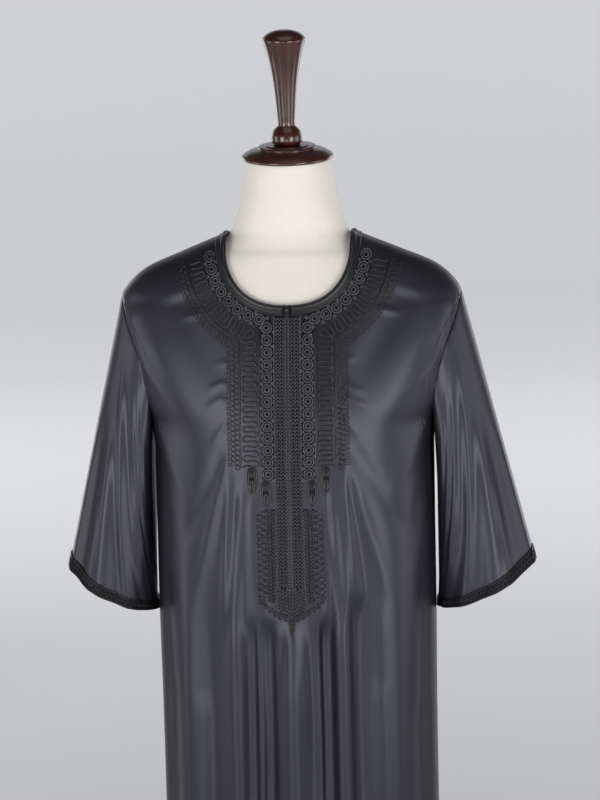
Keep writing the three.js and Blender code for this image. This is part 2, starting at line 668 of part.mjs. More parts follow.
// From the shoulder's end of the yoke, round the neck and down the chest.
function braidPath(offset, column, bottom, step) {
  const end = (p) => YOKE.end + YOKE.slope * (p.x - NECK_HALF);
  const arc = [];
  for (let t = 0.97; t > 0; t -= 0.004) {
    const p = neckOffset(t, offset);
    if (p.x < column) {
      break;
    }
    if (p.z <= end(p)) {
      arc.push(p);
    }
  }
  const corner = arc[arc.length - 1];
  const turnFrom = Math.max(0, arc.length - BRAID_CORNER.points);
  const bend = new THREE.QuadraticBezierCurve3(
    arc[turnFrom],
    vec(column, 0, corner.z),
    vec(column, 0, corner.z - BRAID_CORNER.drop),
  );
  const path = [...arc.slice(0, turnFrom), ...bend.getPoints(8), vec(column, 0, bottom)];
  const run = runAlong(path);
  const total = run[run.length - 1];
  return steps(Math.round(total / step)).map((share) => {
    const { point, piece } = placeAt(path, run, share * total);
    const along = path[piece + 1].clone().sub(path[piece]).normalize();
    return { p: point, along, side: vec(-along.z, 0, along.x) };
  });
}

// The scalloped field of stitching that all the cords lie on
function yokeOutline() {
  const inner = braidPath(YOKE.inner, PLACKET_HALF + SEAM, PODS[1].top + 4, 7).map((s) => s.p);
  const outer = braidPath(YOKE.outer, YOKE.column, YOKE.bottom, PICOT_PITCH);
  const scallops = outer.slice(0, -1).flatMap((s, k) => {
    const middle = s.p.clone().lerp(outer[k + 1].p, 0.5);
    return [s.p, middle.addScaledVector(s.side, PICOT_RADIUS)];
  });
  const pod = ({ x, top, bottom, half }) =>
    [0, 30, 65, 115, 150, 180].map((degrees) => {
      const angle = THREE.MathUtils.degToRad(degrees);
      return vec(x + half * Math.cos(angle), 0, bottom + 0.5 * (top - bottom) * (1 - Math.sin(angle)));
    });
  const betweenPods = vec((PODS[0].x + PODS[1].x) / 2, 0, PODS[1].top + 2);
  return [
    ...scallops, outer[outer.length - 1].p, vec(PODS[0].x + PODS[0].half, 0, YOKE.bottom - 1),
    ...pod(PODS[0]), betweenPods, ...pod(PODS[1]), ...inner.reverse(),
  ];
}

const embroideryTop = EMBROIDERY.base + EMBROIDERY.thick;
const stitchedLayer = layerOn("front", EMBROIDERY.base, embroideryTop, TONGUE.tip - 20);
const yoke = (sign) => toGeometry(stitchedLayer.intersect(prism(yokeOutline(), "front", sign)));

// Stitched strips on both sides of the zip
function placket(sign) {
  const top = braidPath(YOKE.inner, ZIP_SLIT, SLIDER_NOTCH.floor - 20, 3).map((s) => s.p);
  const start = top.filter((p) => p.x < PLACKET_HALF && p.z > SLIDER_NOTCH.floor - 8).reverse();
  const outline = [
    ...start,
    vec(PLACKET_HALF, 0, start[start.length - 1].z + 0.5),
    vec(PLACKET_HALF, 0, ZIP_END_Z),
    vec(ZIP_SLIT, 0, ZIP_END_Z),
  ];
  const layer = layerOn("front", EMBROIDERY.base, EMBROIDERY.base + PLACKET_THICK, ZIP_END_Z - 40);
  return toGeometry(layer.intersect(prism(outline, "front", sign)));
}

// The tongue below the zip: a field round the ends of the two strips, with a drop at its foot
function tongue() {
  const gap = PLACKET_HALF + SEAM;
  const side = [];
  for (let z = TONGUE.top; z > TONGUE.sides; z -= PICOT_PITCH) {
    side.push(vec(TONGUE.half, 0, z), vec(TONGUE.half + PICOT_RADIUS, 0, z - PICOT_PITCH / 2));
  }
  const foot = TONGUE_FOOT.map(({ x, z }) => vec(x, 0, z));
  const right = [vec(gap, 0, ZIP_END_Z - SEAM), vec(gap, 0, TONGUE.top + 1), ...side, ...foot];
  const left = right.slice().reverse().map((p) => vec(-p.x, 0, p.z));
  return toGeometry(stitchedLayer.intersect(prism([...right, vec(0, 0, TONGUE.tip), ...left])));
}

// A cord laid on the embroidery: a low ridge that follows a path in the front view
function laidCord(path) {
  const { base, height, width } = CORD;
  const points = [];
  const places = path.map((p) => onFront(p.x, p.z));
  places.forEach(({ point, normal }, k) => {
    const ahead = places[Math.min(places.length - 1, k + 1)].point;
    const behind = places[Math.max(0, k - 1)].point;
    const across = ahead.clone().sub(behind).cross(normal).normalize();
    points.push(
      point.clone().addScaledVector(normal, base).addScaledVector(across, width / 2),
      point.clone().addScaledVector(normal, base + height),
      point.clone().addScaledVector(normal, base).addScaledVector(across, -width / 2),
    );
  });
  const faces = [];
  for (let k = 0; k < path.length - 1; k++) {
    for (let n = 0; n < 3; n++) {
      const a = 3 * k + n;
      const b = 3 * k + ((n + 1) % 3);
      faces.push(a, a + 3, b + 3, a, b + 3, b);
    }
  }
  const last = 3 * (path.length - 1);
  faces.push(0, 1, 2, last, last + 2, last + 1);
  return facingOut(points, faces);
}

function serpentine(sign) {
  const { offset, column, bottom, pitch, reach, bulge } = SERPENTINE;
  const line = braidPath(offset, column, bottom, pitch / CORD.steps).slice(2, -2);
  const path = line.map(({ p, along, side }, k) => {
    const turn = (2 * Math.PI * k) / CORD.steps;
    const place = p.clone().addScaledVector(side, reach * Math.sin(turn));
    place.addScaledVector(along, -bulge * Math.sin(2 * turn));
    return place.setX(sign * place.x);
  });
  return laidCord(path);
}

// A row of stitched rosettes, each touching the next
function rosettes(sign) {
  const centres = braidPath(ROSETTES.offset, ROSETTES.column, ROSETTES.bottom, ROSETTES.pitch);
  const one = [];
  const other = [];
  centres.forEach(({ p, along, side }) => {
    [-42, 42].forEach((degrees) => {
      const angle = THREE.MathUtils.degToRad(degrees);
      const step = along.clone().multiplyScalar(ROSETTES.radius * Math.sin(angle));
      one.push(p.clone().add(step).addScaledVector(side, ROSETTES.radius * Math.cos(angle)));
      other.push(p.clone().add(step).addScaledVector(side, -ROSETTES.radius * Math.cos(angle)));
    });
  });
  const base = embroideryTop + SEAM;
  const layer = layerOn("front", base, base + ROSETTES.thick, ROSETTES.bottom - 40);
  return toGeometry(layer.intersect(prism([...one, ...other.reverse()], "front", sign)));
}

// The slit for the zip, and the notch that its slider sits in
const boxFrom = (low, high) => {
  const box = new THREE.BoxGeometry(high.x - low.x, high.y - low.y, high.z - low.z);
  return box.translate((low.x + high.x) / 2, (low.y + high.y) / 2, (low.z + high.z) / 2);
};
const slit = toSolid(boxFrom(vec(-ZIP_SLIT, -200, ZIP_END_Z), vec(ZIP_SLIT, -20, SLIDER_NOTCH.floor + 1)));
const notch = toSolid(
  boxFrom(vec(-SLIDER_NOTCH.half, -200, SLIDER_NOTCH.floor), vec(SLIDER_NOTCH.half, -20, SIDE_NECK_Z)),
);
const armholeFrom = FRONT_COLUMNS.neck + FRONT_COLUMNS.shoulder;
const frontPanel = toSolid(wallBetween(front, moved(front, frontNormals, -CLOTH), armholeFrom));
const frontWithSlit = toGeometry(frontPanel.subtract(slit.add(notch)));

function zipChain() {
  const half = ZIP_SLIT - SEAM;
  const outline = [
    vec(-half, 0, ZIP_END_Z + SEAM), vec(half, 0, ZIP_END_Z + SEAM),
    vec(half, 0, SLIDER_NOTCH.floor), vec(-half, 0, SLIDER_NOTCH.floor),
  ];
  return toGeometry(layerOn("front", -CLOTH, 0.9, ZIP_END_Z - 40).intersect(prism(outline)));
}

// Slider with two lugs and a cross pin, and the tab that hangs on the pin
const SLIDER = { half: 2.1, height: 7, thick: 2, inside: 0.6, pin: 0.5, lug: 0.7 };
const LUG_RIM = { out: 0.9, up: 1.1 }; // from the pin's axis to the lug's edges
const seatOfSlider = onFront(0, SLIDER_NOTCH.floor + SEAM + SLIDER.height / 2);
const sliderTilt = Math.atan2(seatOfSlider.normal.z, -seatOfSlider.normal.y);
const PIN = { out: 3.7, up: 1.6 };
const TAB = { half: 1.9, length: 12.5, thick: 0.8, eye: 0.9, rim: 1.75, neck: 1, shoulder: 5, chamfer: 1.3 };
const TAB_PLAY = 0.25; // on each side, between the lugs

function slider() {
  const outer = SLIDER.inside - SLIDER.thick;
  const body = boxFrom(
    vec(-SLIDER.half, outer, -SLIDER.height / 2),
    vec(SLIDER.half, SLIDER.inside, SLIDER.height / 2),
  );
  const lugs = [-SLIDER.half, SLIDER.half - SLIDER.lug].map((x) => {
    const low = vec(x, -PIN.out - LUG_RIM.out, PIN.up - LUG_RIM.up);
    return toSolid(boxFrom(low, vec(x + SLIDER.lug, outer + SEAM, PIN.up + LUG_RIM.up)));
  });
  const pin = new THREE.CylinderGeometry(SLIDER.pin, SLIDER.pin, 2 * SLIDER.half - 0.2, 10);
  const pinSolid = toSolid(pin.rotateZ(Math.PI / 2).translate(0, -PIN.out, PIN.up));
  return toGeometry([...lugs, pinSolid].reduce((sum, piece) => sum.add(piece), toSolid(body)));
}

function pullTab() {
  const outline = new THREE.Shape();
  outline.absarc(0, 0, TAB.rim, 0, 2 * Math.PI, false);
  const hole = new THREE.Path();
  hole.absarc(0, 0, TAB.eye, 0, 2 * Math.PI, true);
  outline.holes.push(hole);
  const wide = 2 * (SLIDER.half - SLIDER.lug - TAB_PLAY);
  const eye = new THREE.ExtrudeGeometry(outline, { depth: wide, bevelEnabled: false, curveSegments: 8 });
  const ring = toSolid(eye.rotateY(Math.PI / 2).translate(-wide / 2, 0, 0));
  const edge = [
    [TAB.neck, -TAB.eye - 0.35],
    [TAB.half, -TAB.shoulder],
    [TAB.half, TAB.chamfer - TAB.length],
    [TAB.half - TAB.chamfer, -TAB.length],
  ].map(([x, y]) => new THREE.Vector2(x, y));
  const otherEdge = edge.map((p) => new THREE.Vector2(-p.x, p.y)).reverse();
  const blade = new THREE.Shape([...edge, ...otherEdge]);
  const plate = new THREE.ExtrudeGeometry(blade, { depth: TAB.thick, bevelEnabled: false });
  const plateSolid = toSolid(plate.rotateX(Math.PI / 2).translate(0, -0.2, 0));
  return toGeometry(ring.add(plateSolid));
}

// The dress form
function formRing(row, lean) {
  const count = FORM_SEGMENTS;
  return Array.from({ length: count }, (_, k) => {
    const angle = (2 * Math.PI * k) / count;
    const c = Math.cos(angle);
    const s = Math.sin(angle);
    const depth = s < 0 ? row.front : row.back;
    const x = row.half * Math.sign(c) * Math.pow(Math.abs(c), 2 / row.power);
    const y = depth * Math.sign(s) * Math.pow(Math.abs(s), 2 / row.power);
    return vec(x, y, row.z + (y - NECK_TOP.y) * Math.tan(lean));
  });
}

function formBody() {
  const rings = FORM_RINGS.map((row) => {
    const lean = NECK_LEAN * smooth((row.z - 1480) / (NECK_TOP.z - 1480));
    return formRing(row, lean);
  });
  const count = rings[0].length;
  const points = rings.flat();
  const faces = [];
  for (let j = 0; j < rings.length - 1; j++) {
    for (let k = 0; k < count; k++) {
      const a = j * count + k;
      const b = j * count + ((k + 1) % count);
      faces.push(a, b, b + count, a, b + count, a + count);
    }
  }
  const last = (rings.length - 1) * count;
  for (let k = 1; k < count - 1; k++) {
    faces.push(0, k + 1, k, last, last + k, last + k + 1);
  }
  return facingOut(points, faces);
}

const turned = (profilePoints, segments = TURNED_SEGMENTS) => {
  const points = profilePoints.map(([r, z]) => new THREE.Vector2(r, z));
  return new THREE.LatheGeometry(points, segments).rotateX(Math.PI / 2);
};

const capProfile = [
  [0, 0.3], [57.5, 0.3], [59, 2.5], [58, 5.5], [52, 9.5], [44, 12], [37, 13.2],
  [37.4, 15], [36, 16.4], [29, 16.8], [28.4, 17.8], [0, 17.8],
];
const finialProfile = [
  [0, 18.1], [19.6, 18.1], [20.2, 24], [19.4, 31], [16.6, 37], [11.4, 41.5], [11.6, 52], [13, 76],
  [16.6, 104], [22.4, 134], [27.4, 152], [27, 154.5], [20, 160.2], [10, 163.8], [0, 165],
];
const baseProfile = [
  [0, 0], [BASE.radius - 3, 0], [BASE.radius, 3], [BASE.radius, 14], [BASE.radius - 5, 20],
  [BASE.radius - 40, 24], [34, 26], [26, BASE.height], [0, BASE.height],
];

// Materials
const paint = (color, roughness, metalness = 0) =>
  new THREE.MeshStandardMaterial({ color, roughness, metalness });
const satin = paint(0x36363d, 0.34);
const thread = paint(0x1d1d20, 0.62);
const linen = paint(0xe9e3d8, 0.85);
const wood = paint(0x3a1a14, 0.25);
const metal = paint(0x4a4a4e, 0.3, 0.9);

const thobe = new THREE.Group();
const add = (name, geometry, material) => {
  const mesh = new THREE.Mesh(geometry, material);
  mesh.name = name;
  thobe.add(mesh);
  return mesh;
};

add("front_panel", frontWithSlit, satin);
const backInner = moved(back, backNormals, -CLOTH);
add("back_panel", wallBetween(back, backInner, BACK_COLUMNS.neck + BACK_COLUMNS.shoulder), satin);
add("sleeve_left", sleeveWall(sleeves.left), satin);
add("sleeve_right", mirrored(sleeveWall(sleeves.right)), satin);
add("cuff_braid_left", cuffBraid(sleeves.left), thread);
add("cuff_braid_right", mirrored(cuffBraid(sleeves.right)), thread);
add("neck_binding", neckBinding(), thread);
const embroideries = { yoke, placket, serpentine, rosettes };
for (const [name, make] of Object.entries(embroideries)) {
  add(`${name}_left`, make(1), thread);
  add(`${name}_right`, make(-1), thread);
}
add("tongue", tongue(), thread);
add("zip_chain", zipChain(), metal);

const zipHead = new THREE.Group();
zipHead.position.copy(seatOfSlider.point);
zipHead.rotation.x = -sliderTilt;
thobe.add(zipHead);
zipHead.add(new THREE.Mesh(slider(), metal));
zipHead.children[0].name = "zip_slider";
const tab = new THREE.Mesh(pullTab(), metal);
tab.name = "zip_pull_tab";
tab.position.set(0, -PIN.out, PIN.up);
zipHead.add(tab);

add("form_body", formBody(), linen);
const capGroup = new THREE.Group();
capGroup.position.copy(NECK_TOP);
capGroup.rotation.x = NECK_LEAN;
thobe.add(capGroup);
[["form_neck_cap", capProfile], ["form_finial", finialProfile]].forEach(([name, points]) => {
  const mesh = new THREE.Mesh(turned(points), wood);
  mesh.name = name;
  capGroup.add(mesh);
});
const pole = new THREE.CylinderGeometry(POLE.radius, POLE.radius, FORM_RINGS[0].z - POLE.floor, 20);
add("form_pole", pole.rotateX(Math.PI / 2).translate(0, 0, (FORM_RINGS[0].z + POLE.floor) / 2), metal);
add("form_base", turned(baseProfile, BASE_SEGMENTS), wood);

export default thobe;
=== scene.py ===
import math
import bpy
import bmesh
import numpy as np
from mathutils import Matrix, Vector
from mathutils.bvhtree import BVHTree


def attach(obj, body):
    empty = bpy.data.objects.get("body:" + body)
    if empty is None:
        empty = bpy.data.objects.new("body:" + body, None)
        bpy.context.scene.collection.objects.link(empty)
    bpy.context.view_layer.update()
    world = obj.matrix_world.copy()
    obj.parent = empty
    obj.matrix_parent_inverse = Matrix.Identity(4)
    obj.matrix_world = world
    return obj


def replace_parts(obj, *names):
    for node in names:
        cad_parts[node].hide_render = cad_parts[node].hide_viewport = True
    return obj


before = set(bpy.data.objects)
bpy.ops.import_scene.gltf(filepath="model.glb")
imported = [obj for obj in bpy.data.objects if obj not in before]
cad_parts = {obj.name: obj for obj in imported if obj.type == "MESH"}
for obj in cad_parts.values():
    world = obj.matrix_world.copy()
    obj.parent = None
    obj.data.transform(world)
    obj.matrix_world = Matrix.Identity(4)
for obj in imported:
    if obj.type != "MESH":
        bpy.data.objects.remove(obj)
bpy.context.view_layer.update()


# Room and viewing place
# A pale seamless floor, an even pale room, and large soft lamps, as for a catalogue picture. The viewer
# stands 3 m off, 9 degrees above the chest and 3.5 degrees to the right, with the head leant a little.
MM = 0.001
CAMERA = {
    "lens": 103.85, "near": 0.1, "place": (0.19136, -2.99157, 1.73078), "turn": 3.5, "down": 9, "lean": -1.3,
}
BACKDROP = {"place": (5, 4.2, 6), "aim": (0, 12, 3.3), "size": 4, "watts": 860}
ROOM_LIGHT = {"colour": (0.66, 0.67, 0.69, 1), "strength": 0.07}
# radius and height of the paper's line, in metres
PAPER_SWEEP = [
    (0, 0), (4, 0), (9, 0), (11, 0.15), (12.6, 0.8), (13.6, 1.9), (14.1, 3.5), (14.2, 6), (14.2, 9),
]

picture_taker = bpy.data.cameras.new("camera")
picture_taker.lens = CAMERA["lens"]
picture_taker.clip_start = CAMERA["near"]
camera = bpy.data.objects.new("camera", picture_taker)
bpy.context.collection.objects.link(camera)
camera.matrix_world = (
    Matrix.Translation(CAMERA["place"])
    @ Matrix.Rotation(math.radians(CAMERA["turn"]), 4, "Z")
    @ Matrix.Rotation(math.radians(90 - CAMERA["down"]), 4, "X")
    @ Matrix.Rotation(math.radians(CAMERA["lean"]), 4, "Z")
)
bpy.context.scene.camera = camera
bpy.context.scene.view_settings.view_transform = "Standard"


def soft_lamp(name, place, aim, wide, tall, watts):
    """A rectangular lamp that faces a point and isn't seen itself."""
    lamp = bpy.data.lights.new(name, "AREA")
    lamp.shape = "RECTANGLE"
    lamp.size = wide
    lamp.size_y = tall
    lamp.energy = watts
    holder = bpy.data.objects.new(name, lamp)
    bpy.context.collection.objects.link(holder)
    holder.location = place
    holder.rotation_euler = (Vector(aim) - Vector(place)).to_track_quat("-Z", "Y").to_euler()
    holder.visible_camera = False
    return holder


soft_lamp("lamp_left", (-1.5, -2.5, 1.15), (0, 0, 1.1), 1.1, 1.6, 46)
soft_lamp("lamp_right", (1.75, -2.3, 1.15), (0, 0, 1.1), 1.1, 1.6, 46)
soft_lamp("lamp_far_left", (-3.0, -0.5, 1.15), (0, -1.1, 1.15), 1.5, 1.9, 24)
soft_lamp("lamp_far_right", (3.1, -0.4, 1.15), (0, -1.1, 1.15), 1.5, 1.9, 24)
soft_lamp("lamp_front", (0.1, -3.4, 0.45), (0, 0, 0.9), 0.45, 0.9, 12)
soft_lamp("lamp_above", (0.2, -0.9, 4.2), (0, 0, 1.3), 2.2, 2.2, 12)
soft_lamp("lamp_back_left", (-1.9, 2.4, 1.5), (0, 0, 1.1), 1.0, 1.8, 12)
soft_lamp("lamp_back_right", (1.9, 2.4, 1.5), (0, 0, 1.1), 1.0, 1.8, 12)
for side in (-1, 1):
    x, y, z = BACKDROP["place"]
    size = BACKDROP["size"]
    backdrop_lamp = soft_lamp(
        "lamp_backdrop", (x * side, y, z), BACKDROP["aim"], size, size, BACKDROP["watts"]
    )
    backdrop_lamp.visible_glossy = False

room = bpy.data.worlds.new("room")
room.use_nodes = True
room.node_tree.nodes["Background"].inputs["Color"].default_value = ROOM_LIGHT["colour"]
room.node_tree.nodes["Background"].inputs["Strength"].default_value = ROOM_LIGHT["strength"]
bpy.context.scene.world = room


def finish_of(name, colour, roughness, metallic=0.0, specular=0.5, sheen=0.0):
    """A new finish, its node tree and its shader."""
    material = bpy.data.materials.new(name)
    material.use_nodes = True
    shader = material.node_tree.nodes["Principled BSDF"]
    shader.inputs["Base Color"].default_value = (*colour, 1)
    shader.inputs["Roughness"].default_value = roughness
    shader.inputs["Metallic"].default_value = metallic
    shader.inputs["Specular IOR Level"].default_value = specular
    shader.inputs["Sheen Weight"].default_value = sheen
    return material, material.node_tree, shader


def grain(tree, scale, stretch=(1, 1, 1), detail=3.0):
    """A noise on the piece's own coordinates, finer along a direction the more it is stretched there."""
    where = tree.nodes.new("ShaderNodeTexCoord")
    placing = tree.nodes.new("ShaderNodeMapping")
    placing.inputs["Scale"].default_value = stretch
    noise = tree.nodes.new("ShaderNodeTexNoise")
    noise.inputs["Scale"].default_value = scale
    noise.inputs["Detail"].default_value = detail
    tree.links.new(where.outputs["Object"], placing.inputs["Vector"])
    tree.links.new(placing.outputs["Vector"], noise.inputs["Vector"])
    return noise.outputs["Fac"]


def relief(tree, shader, height, depth, strength=1.0):
    """The grain stands out of the surface by the given depth."""
    bump = tree.nodes.new("ShaderNodeBump")
    bump.inputs["Distance"].default_value = depth
    bump.inputs["Strength"].default_value = strength
    tree.links.new(height, bump.inputs["Height"])
    tree.links.new(bump.outputs["Normal"], shader.inputs["Normal"])


ground, ground_tree, ground_shader = finish_of("floor_paper", (0.45, 0.455, 0.47), 0.9, specular=0.1)
relief(ground_tree, ground_shader, grain(ground_tree, 300), 0.0002)
paper = bmesh.new()
marks = [paper.verts.new((radius, 0, height)) for radius, height in PAPER_SWEEP]
lines = [paper.edges.new(pair) for pair in zip(marks, marks[1:])]
bmesh.ops.spin(
    paper, geom=marks + lines, cent=(0, 0, 0), axis=(0, 0, 1), dvec=(0, 0, 0), angle=2 * math.pi, steps=96,
    use_merge=True,
)
bmesh.ops.remove_doubles(paper, verts=paper.verts, dist=1e-5)
bmesh.ops.recalc_face_normals(paper, faces=paper.faces)
for face in paper.faces:
    face.smooth = True
floor_mesh = bpy.data.meshes.new("floor")
paper.to_mesh(floor_mesh)
paper.free()
floor = bpy.data.objects.new("floor", floor_mesh)
bpy.context.collection.objects.link(floor)
floor_mesh.materials.append(ground)


# Front and back panels
# Each is one piece of charcoal satin, cut long and flared, sewn at the shoulders and sides. The front is
# slit for the zip. They hang from the shoulders and chest: folds start under the embroidery and widen to
# the hem.
CLOTH = 1.2
# shares of a panel's half width where neckline and shoulder seam end
EDGE_SHARES = {"neck": 0.32, "shoulder": 0.74}
SEAM_GAP = 0.2
SKIRT_GROWTH = {"share": 0.5, "from": 700, "over": 600}  # of the folds, towards the hem
SIDE_FADE = {"from": 0.86, "over": 0.12}  # shares of the half width where the folds end at the side seam
PUCKER = {"rise": 0.5, "reach": 9}  # along the armhole seam
SEAM_DIP = {"depth": 0.9, "width": 3.5}
SIDE_DIP = {"depth": 0.7, "width": 5, "half_width": 500}
SIDE_NECK_Z, SHOULDER_TIP_Z, UNDERARM_Z, CHEST_Z, HEM_Z = 1480, 1400, 1228, 1205, 90
NECK_HALF, NECK_STAND, NECK_POWER = 81, 10, 2.3
NECK_DROP = {"front": 88, "back": 22}
# height, half width, depth to the front, depth to the back, squareness
BODY_RINGS = np.array([
    (90, 232, 170, 166, 2.2), (400, 206, 153, 147, 2.25), (700, 184, 139, 129, 2.3),
    (850, 183.5, 136, 122, 2.35), (1000, 184.3, 135, 116, 2.35), (1100, 184, 134, 114, 2.3),
    (1200, 184, 132, 117, 2.25),
    (1235, 188, 129, 119, 2.2), (1260, 198, 126, 120, 2.2), (1300, 212, 118, 119, 2.15),
    (1340, 221, 108, 114, 2.1), (1380, 224, 95, 106, 2.05), (1400, 222, 88, 100, 2), (1416, 212, 83, 94, 2),
    (1434, 191, 77, 86, 2), (1455, 143, 70, 74, 2), (1480, 81, 60, 58, 2),
])
# height, distance from the middle
ARMHOLE = [
    (1380, 216.5), (1362, 211), (1335, 200), (1306, 190.5), (1280, 185.5), (1255, 183), (1240, 183.2),
    (1232, 184.8),
]
# place along the ring from the centre, width, rise out of the cloth, heights of its start and its full rise
FOLDS = {
    "front": [
        (-4, 17, 5.5, 985, 880), (-33, 9, -4.5, 1130, 900), (-56, 9, -5, 1150, 940), (-76, 12, 5, 1200, 960),
        (-108, 16, -4, 1130, 800), (-142, 17, 5.5, 1180, 860), (-186, 16, -6, 1170, 900),
        (25, 9, -4.5, 1130, 900), (48, 10, -5.5, 1160, 940), (67, 11, 6, 1200, 980),
        (98, 17, -7, 1190, 920), (136, 20, 5, 1170, 840), (186, 16, -5, 1150, 880),
    ],
    "back": [
        (0, 22, -8, 1260, 980), (-42, 20, 6, 1240, 960), (-86, 17, -6, 1200, 900), (-128, 20, 6, 1180, 880),
        (-176, 18, -5, 1130, 850), (46, 20, 6.5, 1250, 970), (92, 18, -6, 1210, 920),
        (134, 19, 5.5, 1160, 860), (180, 17, -5, 1120, 840),
    ],
}
# creases in the front view, which fade to their end: start and end (x, z, x, z), width, rise
CREASES = {
    "front": [
        (212, 1392, 82, 1190, 24, 3.2), (150, 1404, 74, 1275, 22, -2.6), (-205, 1380, -98, 1200, 24, 3.2),
        (-140, 1402, -84, 1280, 22, -2.4), (72, 1293, 101, 1279, 3.2, 1.1), (116, 1386, 150, 1377, 3.4, 1.3),
        (73, 1324, 92, 1327, 3, 0.7), (72, 1278, 110, 1258, 4, 1.2), (71, 1250, 98, 1218, 4.5, 1.2),
        (144, 1424, 180, 1428, 3.4, 0.8), (142, 1455, 186, 1460, 3.4, 0.7), (-79, 1298, -104, 1287, 3.2, 1.1),
        (-80, 1278, -110, 1261, 4, 1.2), (-76, 1321, -97, 1321, 3, 0.7), (-112, 1382, -141, 1377, 3.4, 1.1),
        (-78, 1245, -102, 1214, 4.5, 1.1), (45, 1163, 63, 900, 4.5, 1.8), (68, 1190, 92, 930, 5, 2),
        (70, 1206, 134, 990, 7, 1.8), (54, 1140, 78, 900, 5, -1.6), (77, 1176, 106, 940, 6, -1.8),
        (-60, 1160, -77, 900, 6, 1.8), (-76, 1179, -94, 940, 5, 1.6), (-79, 1199, -138, 970, 7, 1.8),
        (-71, 1152, -88, 920, 5, -1.4), (-48, 1150, -62, 850, 7, 1.8), (-84, 1205, -160, 1050, 9, -1.6),
        (84, 1212, 168, 1060, 9, -1.6), (176, 1236, 120, 1130, 10, 1.6), (-174, 1232, -124, 1120, 10, 1.6),
        (178, 1216, 150, 1040, 9, -1.5), (-177, 1212, -152, 1030, 9, -1.4), (12, 968, 20, 760, 7, 1.6),
        (-14, 966, -22, 720, 7, -1.5), (30, 1000, 38, 700, 6, 1.5), (-30, 1004, -44, 690, 6, 1.6),
        (190, 1350, 158, 1296, 9, -1.0), (-188, 1342, -156, 1290, 9, -1.0), (196, 1330, 140, 1262, 9, 1.2),
        (-192, 1318, -138, 1256, 9, 1.2), (110, 900, 118, 520, 10, 1.8), (-118, 880, -126, 480, 10, 1.8),
        (160, 860, 172, 420, 10, -1.8), (-164, 900, -178, 400, 10, -1.8), (70, 640, 82, 200, 11, 2),
        (-80, 620, -92, 180, 11, -2), (0, 990, 0, 560, 11, 6), (-31, 985, -33, 560, 8, -7),
        (41, 985, 42, 560, 9, -7), (58, 980, 60, 560, 7, 3.2), (84, 1010, 86, 560, 10, -6.5),
        (-51, 985, -54, 560, 7, -4), (110, 1000, 114, 560, 10, 2), (-71, 980, -76, 560, 8, 2),
        (8, 600, 4, 180, 10, 1.8), (120, 520, 138, 150, 12, -2), (-130, 500, -150, 140, 12, 2),
    ],
    "back": [
        (30, 1430, 40, 1180, 22, 2.2), (-34, 1432, -48, 1170, 22, 2.2), (0, 1445, 2, 1250, 18, -1.8),
        (196, 1350, 120, 1200, 20, 2.4), (-194, 1345, -118, 1190, 20, 2.4), (178, 1232, 130, 1120, 10, 1.6),
        (-176, 1230, -128, 1100, 10, 1.6), (66, 1180, 76, 820, 9, 1.8), (-64, 1190, -74, 800, 9, -1.8),
        (20, 1150, 26, 760, 8, 1.8), (-22, 1120, -24, 700, 8, -1.6), (110, 1100, 122, 640, 10, 1.8),
        (-112, 1080, -124, 600, 10, 1.8), (158, 1000, 172, 500, 10, -1.6), (-158, 980, -176, 480, 10, 1.6),
        (60, 620, 72, 180, 11, 2), (-66, 600, -80, 160, 11, -2), (4, 560, 2, 140, 11, 1.8),
    ],
}


def ease(t):
    """A soft step from 0 to 1."""
    k = np.clip(t, 0, 1)
    return k * k * (3 - 2 * k)


def curve_of(table, column):
    """A smooth curve through a table's column by its first column, which never swings past its values."""
    table = np.asarray(table, float)
    at, value = table[:, 0], table[:, column]
    slope = np.diff(value) / np.diff(at)
    before, after = np.r_[slope[0], slope], np.r_[slope, slope[-1]]
    total = np.where(before * after > 0, before + after, 1)
    tangent = np.where(before * after > 0, 2 * before * after / total, 0)

    def value_at(place):
        place = np.clip(place, at[0], at[-1])
        i = np.clip(np.searchsorted(at, place, side="right") - 1, 0, len(at) - 2)
        width = at[i + 1] - at[i]
        t = (place - at[i]) / width
        bend = t * t * (3 - 2 * t)
        ends = tangent[i] * t * (1 - t) ** 2 - tangent[i + 1] * t * t * (1 - t)
        return value[i] * (1 - bend) + value[i + 1] * bend + width * ends

    return value_at


body_half, body_power = curve_of(BODY_RINGS, 1), curve_of(BODY_RINGS, 4)
body_depth = {"front": curve_of(BODY_RINGS, 2), "back": curve_of(BODY_RINGS, 3)}
armhole_x = curve_of(
    [(UNDERARM_Z, body_half(UNDERARM_Z)), *reversed(ARMHOLE), (SHOULDER_TIP_Z, body_half(SHOULDER_TIP_Z))], 1
)


def cloth_y(x, z, side):
    """How far the unfolded cloth stands to the front or back."""
    share = np.maximum(0, 1 - (np.abs(x) / body_half(z)) ** body_power(z))
    return (-1 if side == "front" else 1) * body_depth[side](z) * share ** (1 / body_power(z))


def spaced(points, shares):
    """Points along a line of many points, at the given shares of its length."""
    run = np.r_[0, np.cumsum(np.linalg.norm(np.diff(points, axis=0), axis=1))]
    return np.stack([np.interp(np.asarray(shares) * run[-1], run, points[:, k]) for k in range(3)], axis=1)


def neckline(t, side):
    """Places on one half of the neckline, from the centre (0) to the side neck (1)."""
    x = NECK_HALF * np.sin(t * math.pi / 2) ** (2 / NECK_POWER)
    rise = np.clip(np.cos(t * math.pi / 2), 0, 1) ** (2 / NECK_POWER)
    if side == "front":
        z = SIDE_NECK_Z - NECK_STAND * (1 - t ** 4) - (NECK_DROP["front"] - NECK_STAND) * rise
    else:
        z = SIDE_NECK_Z - NECK_DROP["back"] * rise
    return np.stack([x, cloth_y(x, z, side), z], axis=1)


def shoulder(t):
    """Places on the shoulder seam, from the side neck to its tip."""
    z = SIDE_NECK_Z + (SHOULDER_TIP_Z - SIDE_NECK_Z) * t
    return np.stack([body_half(z), 0 * z, z], axis=1)


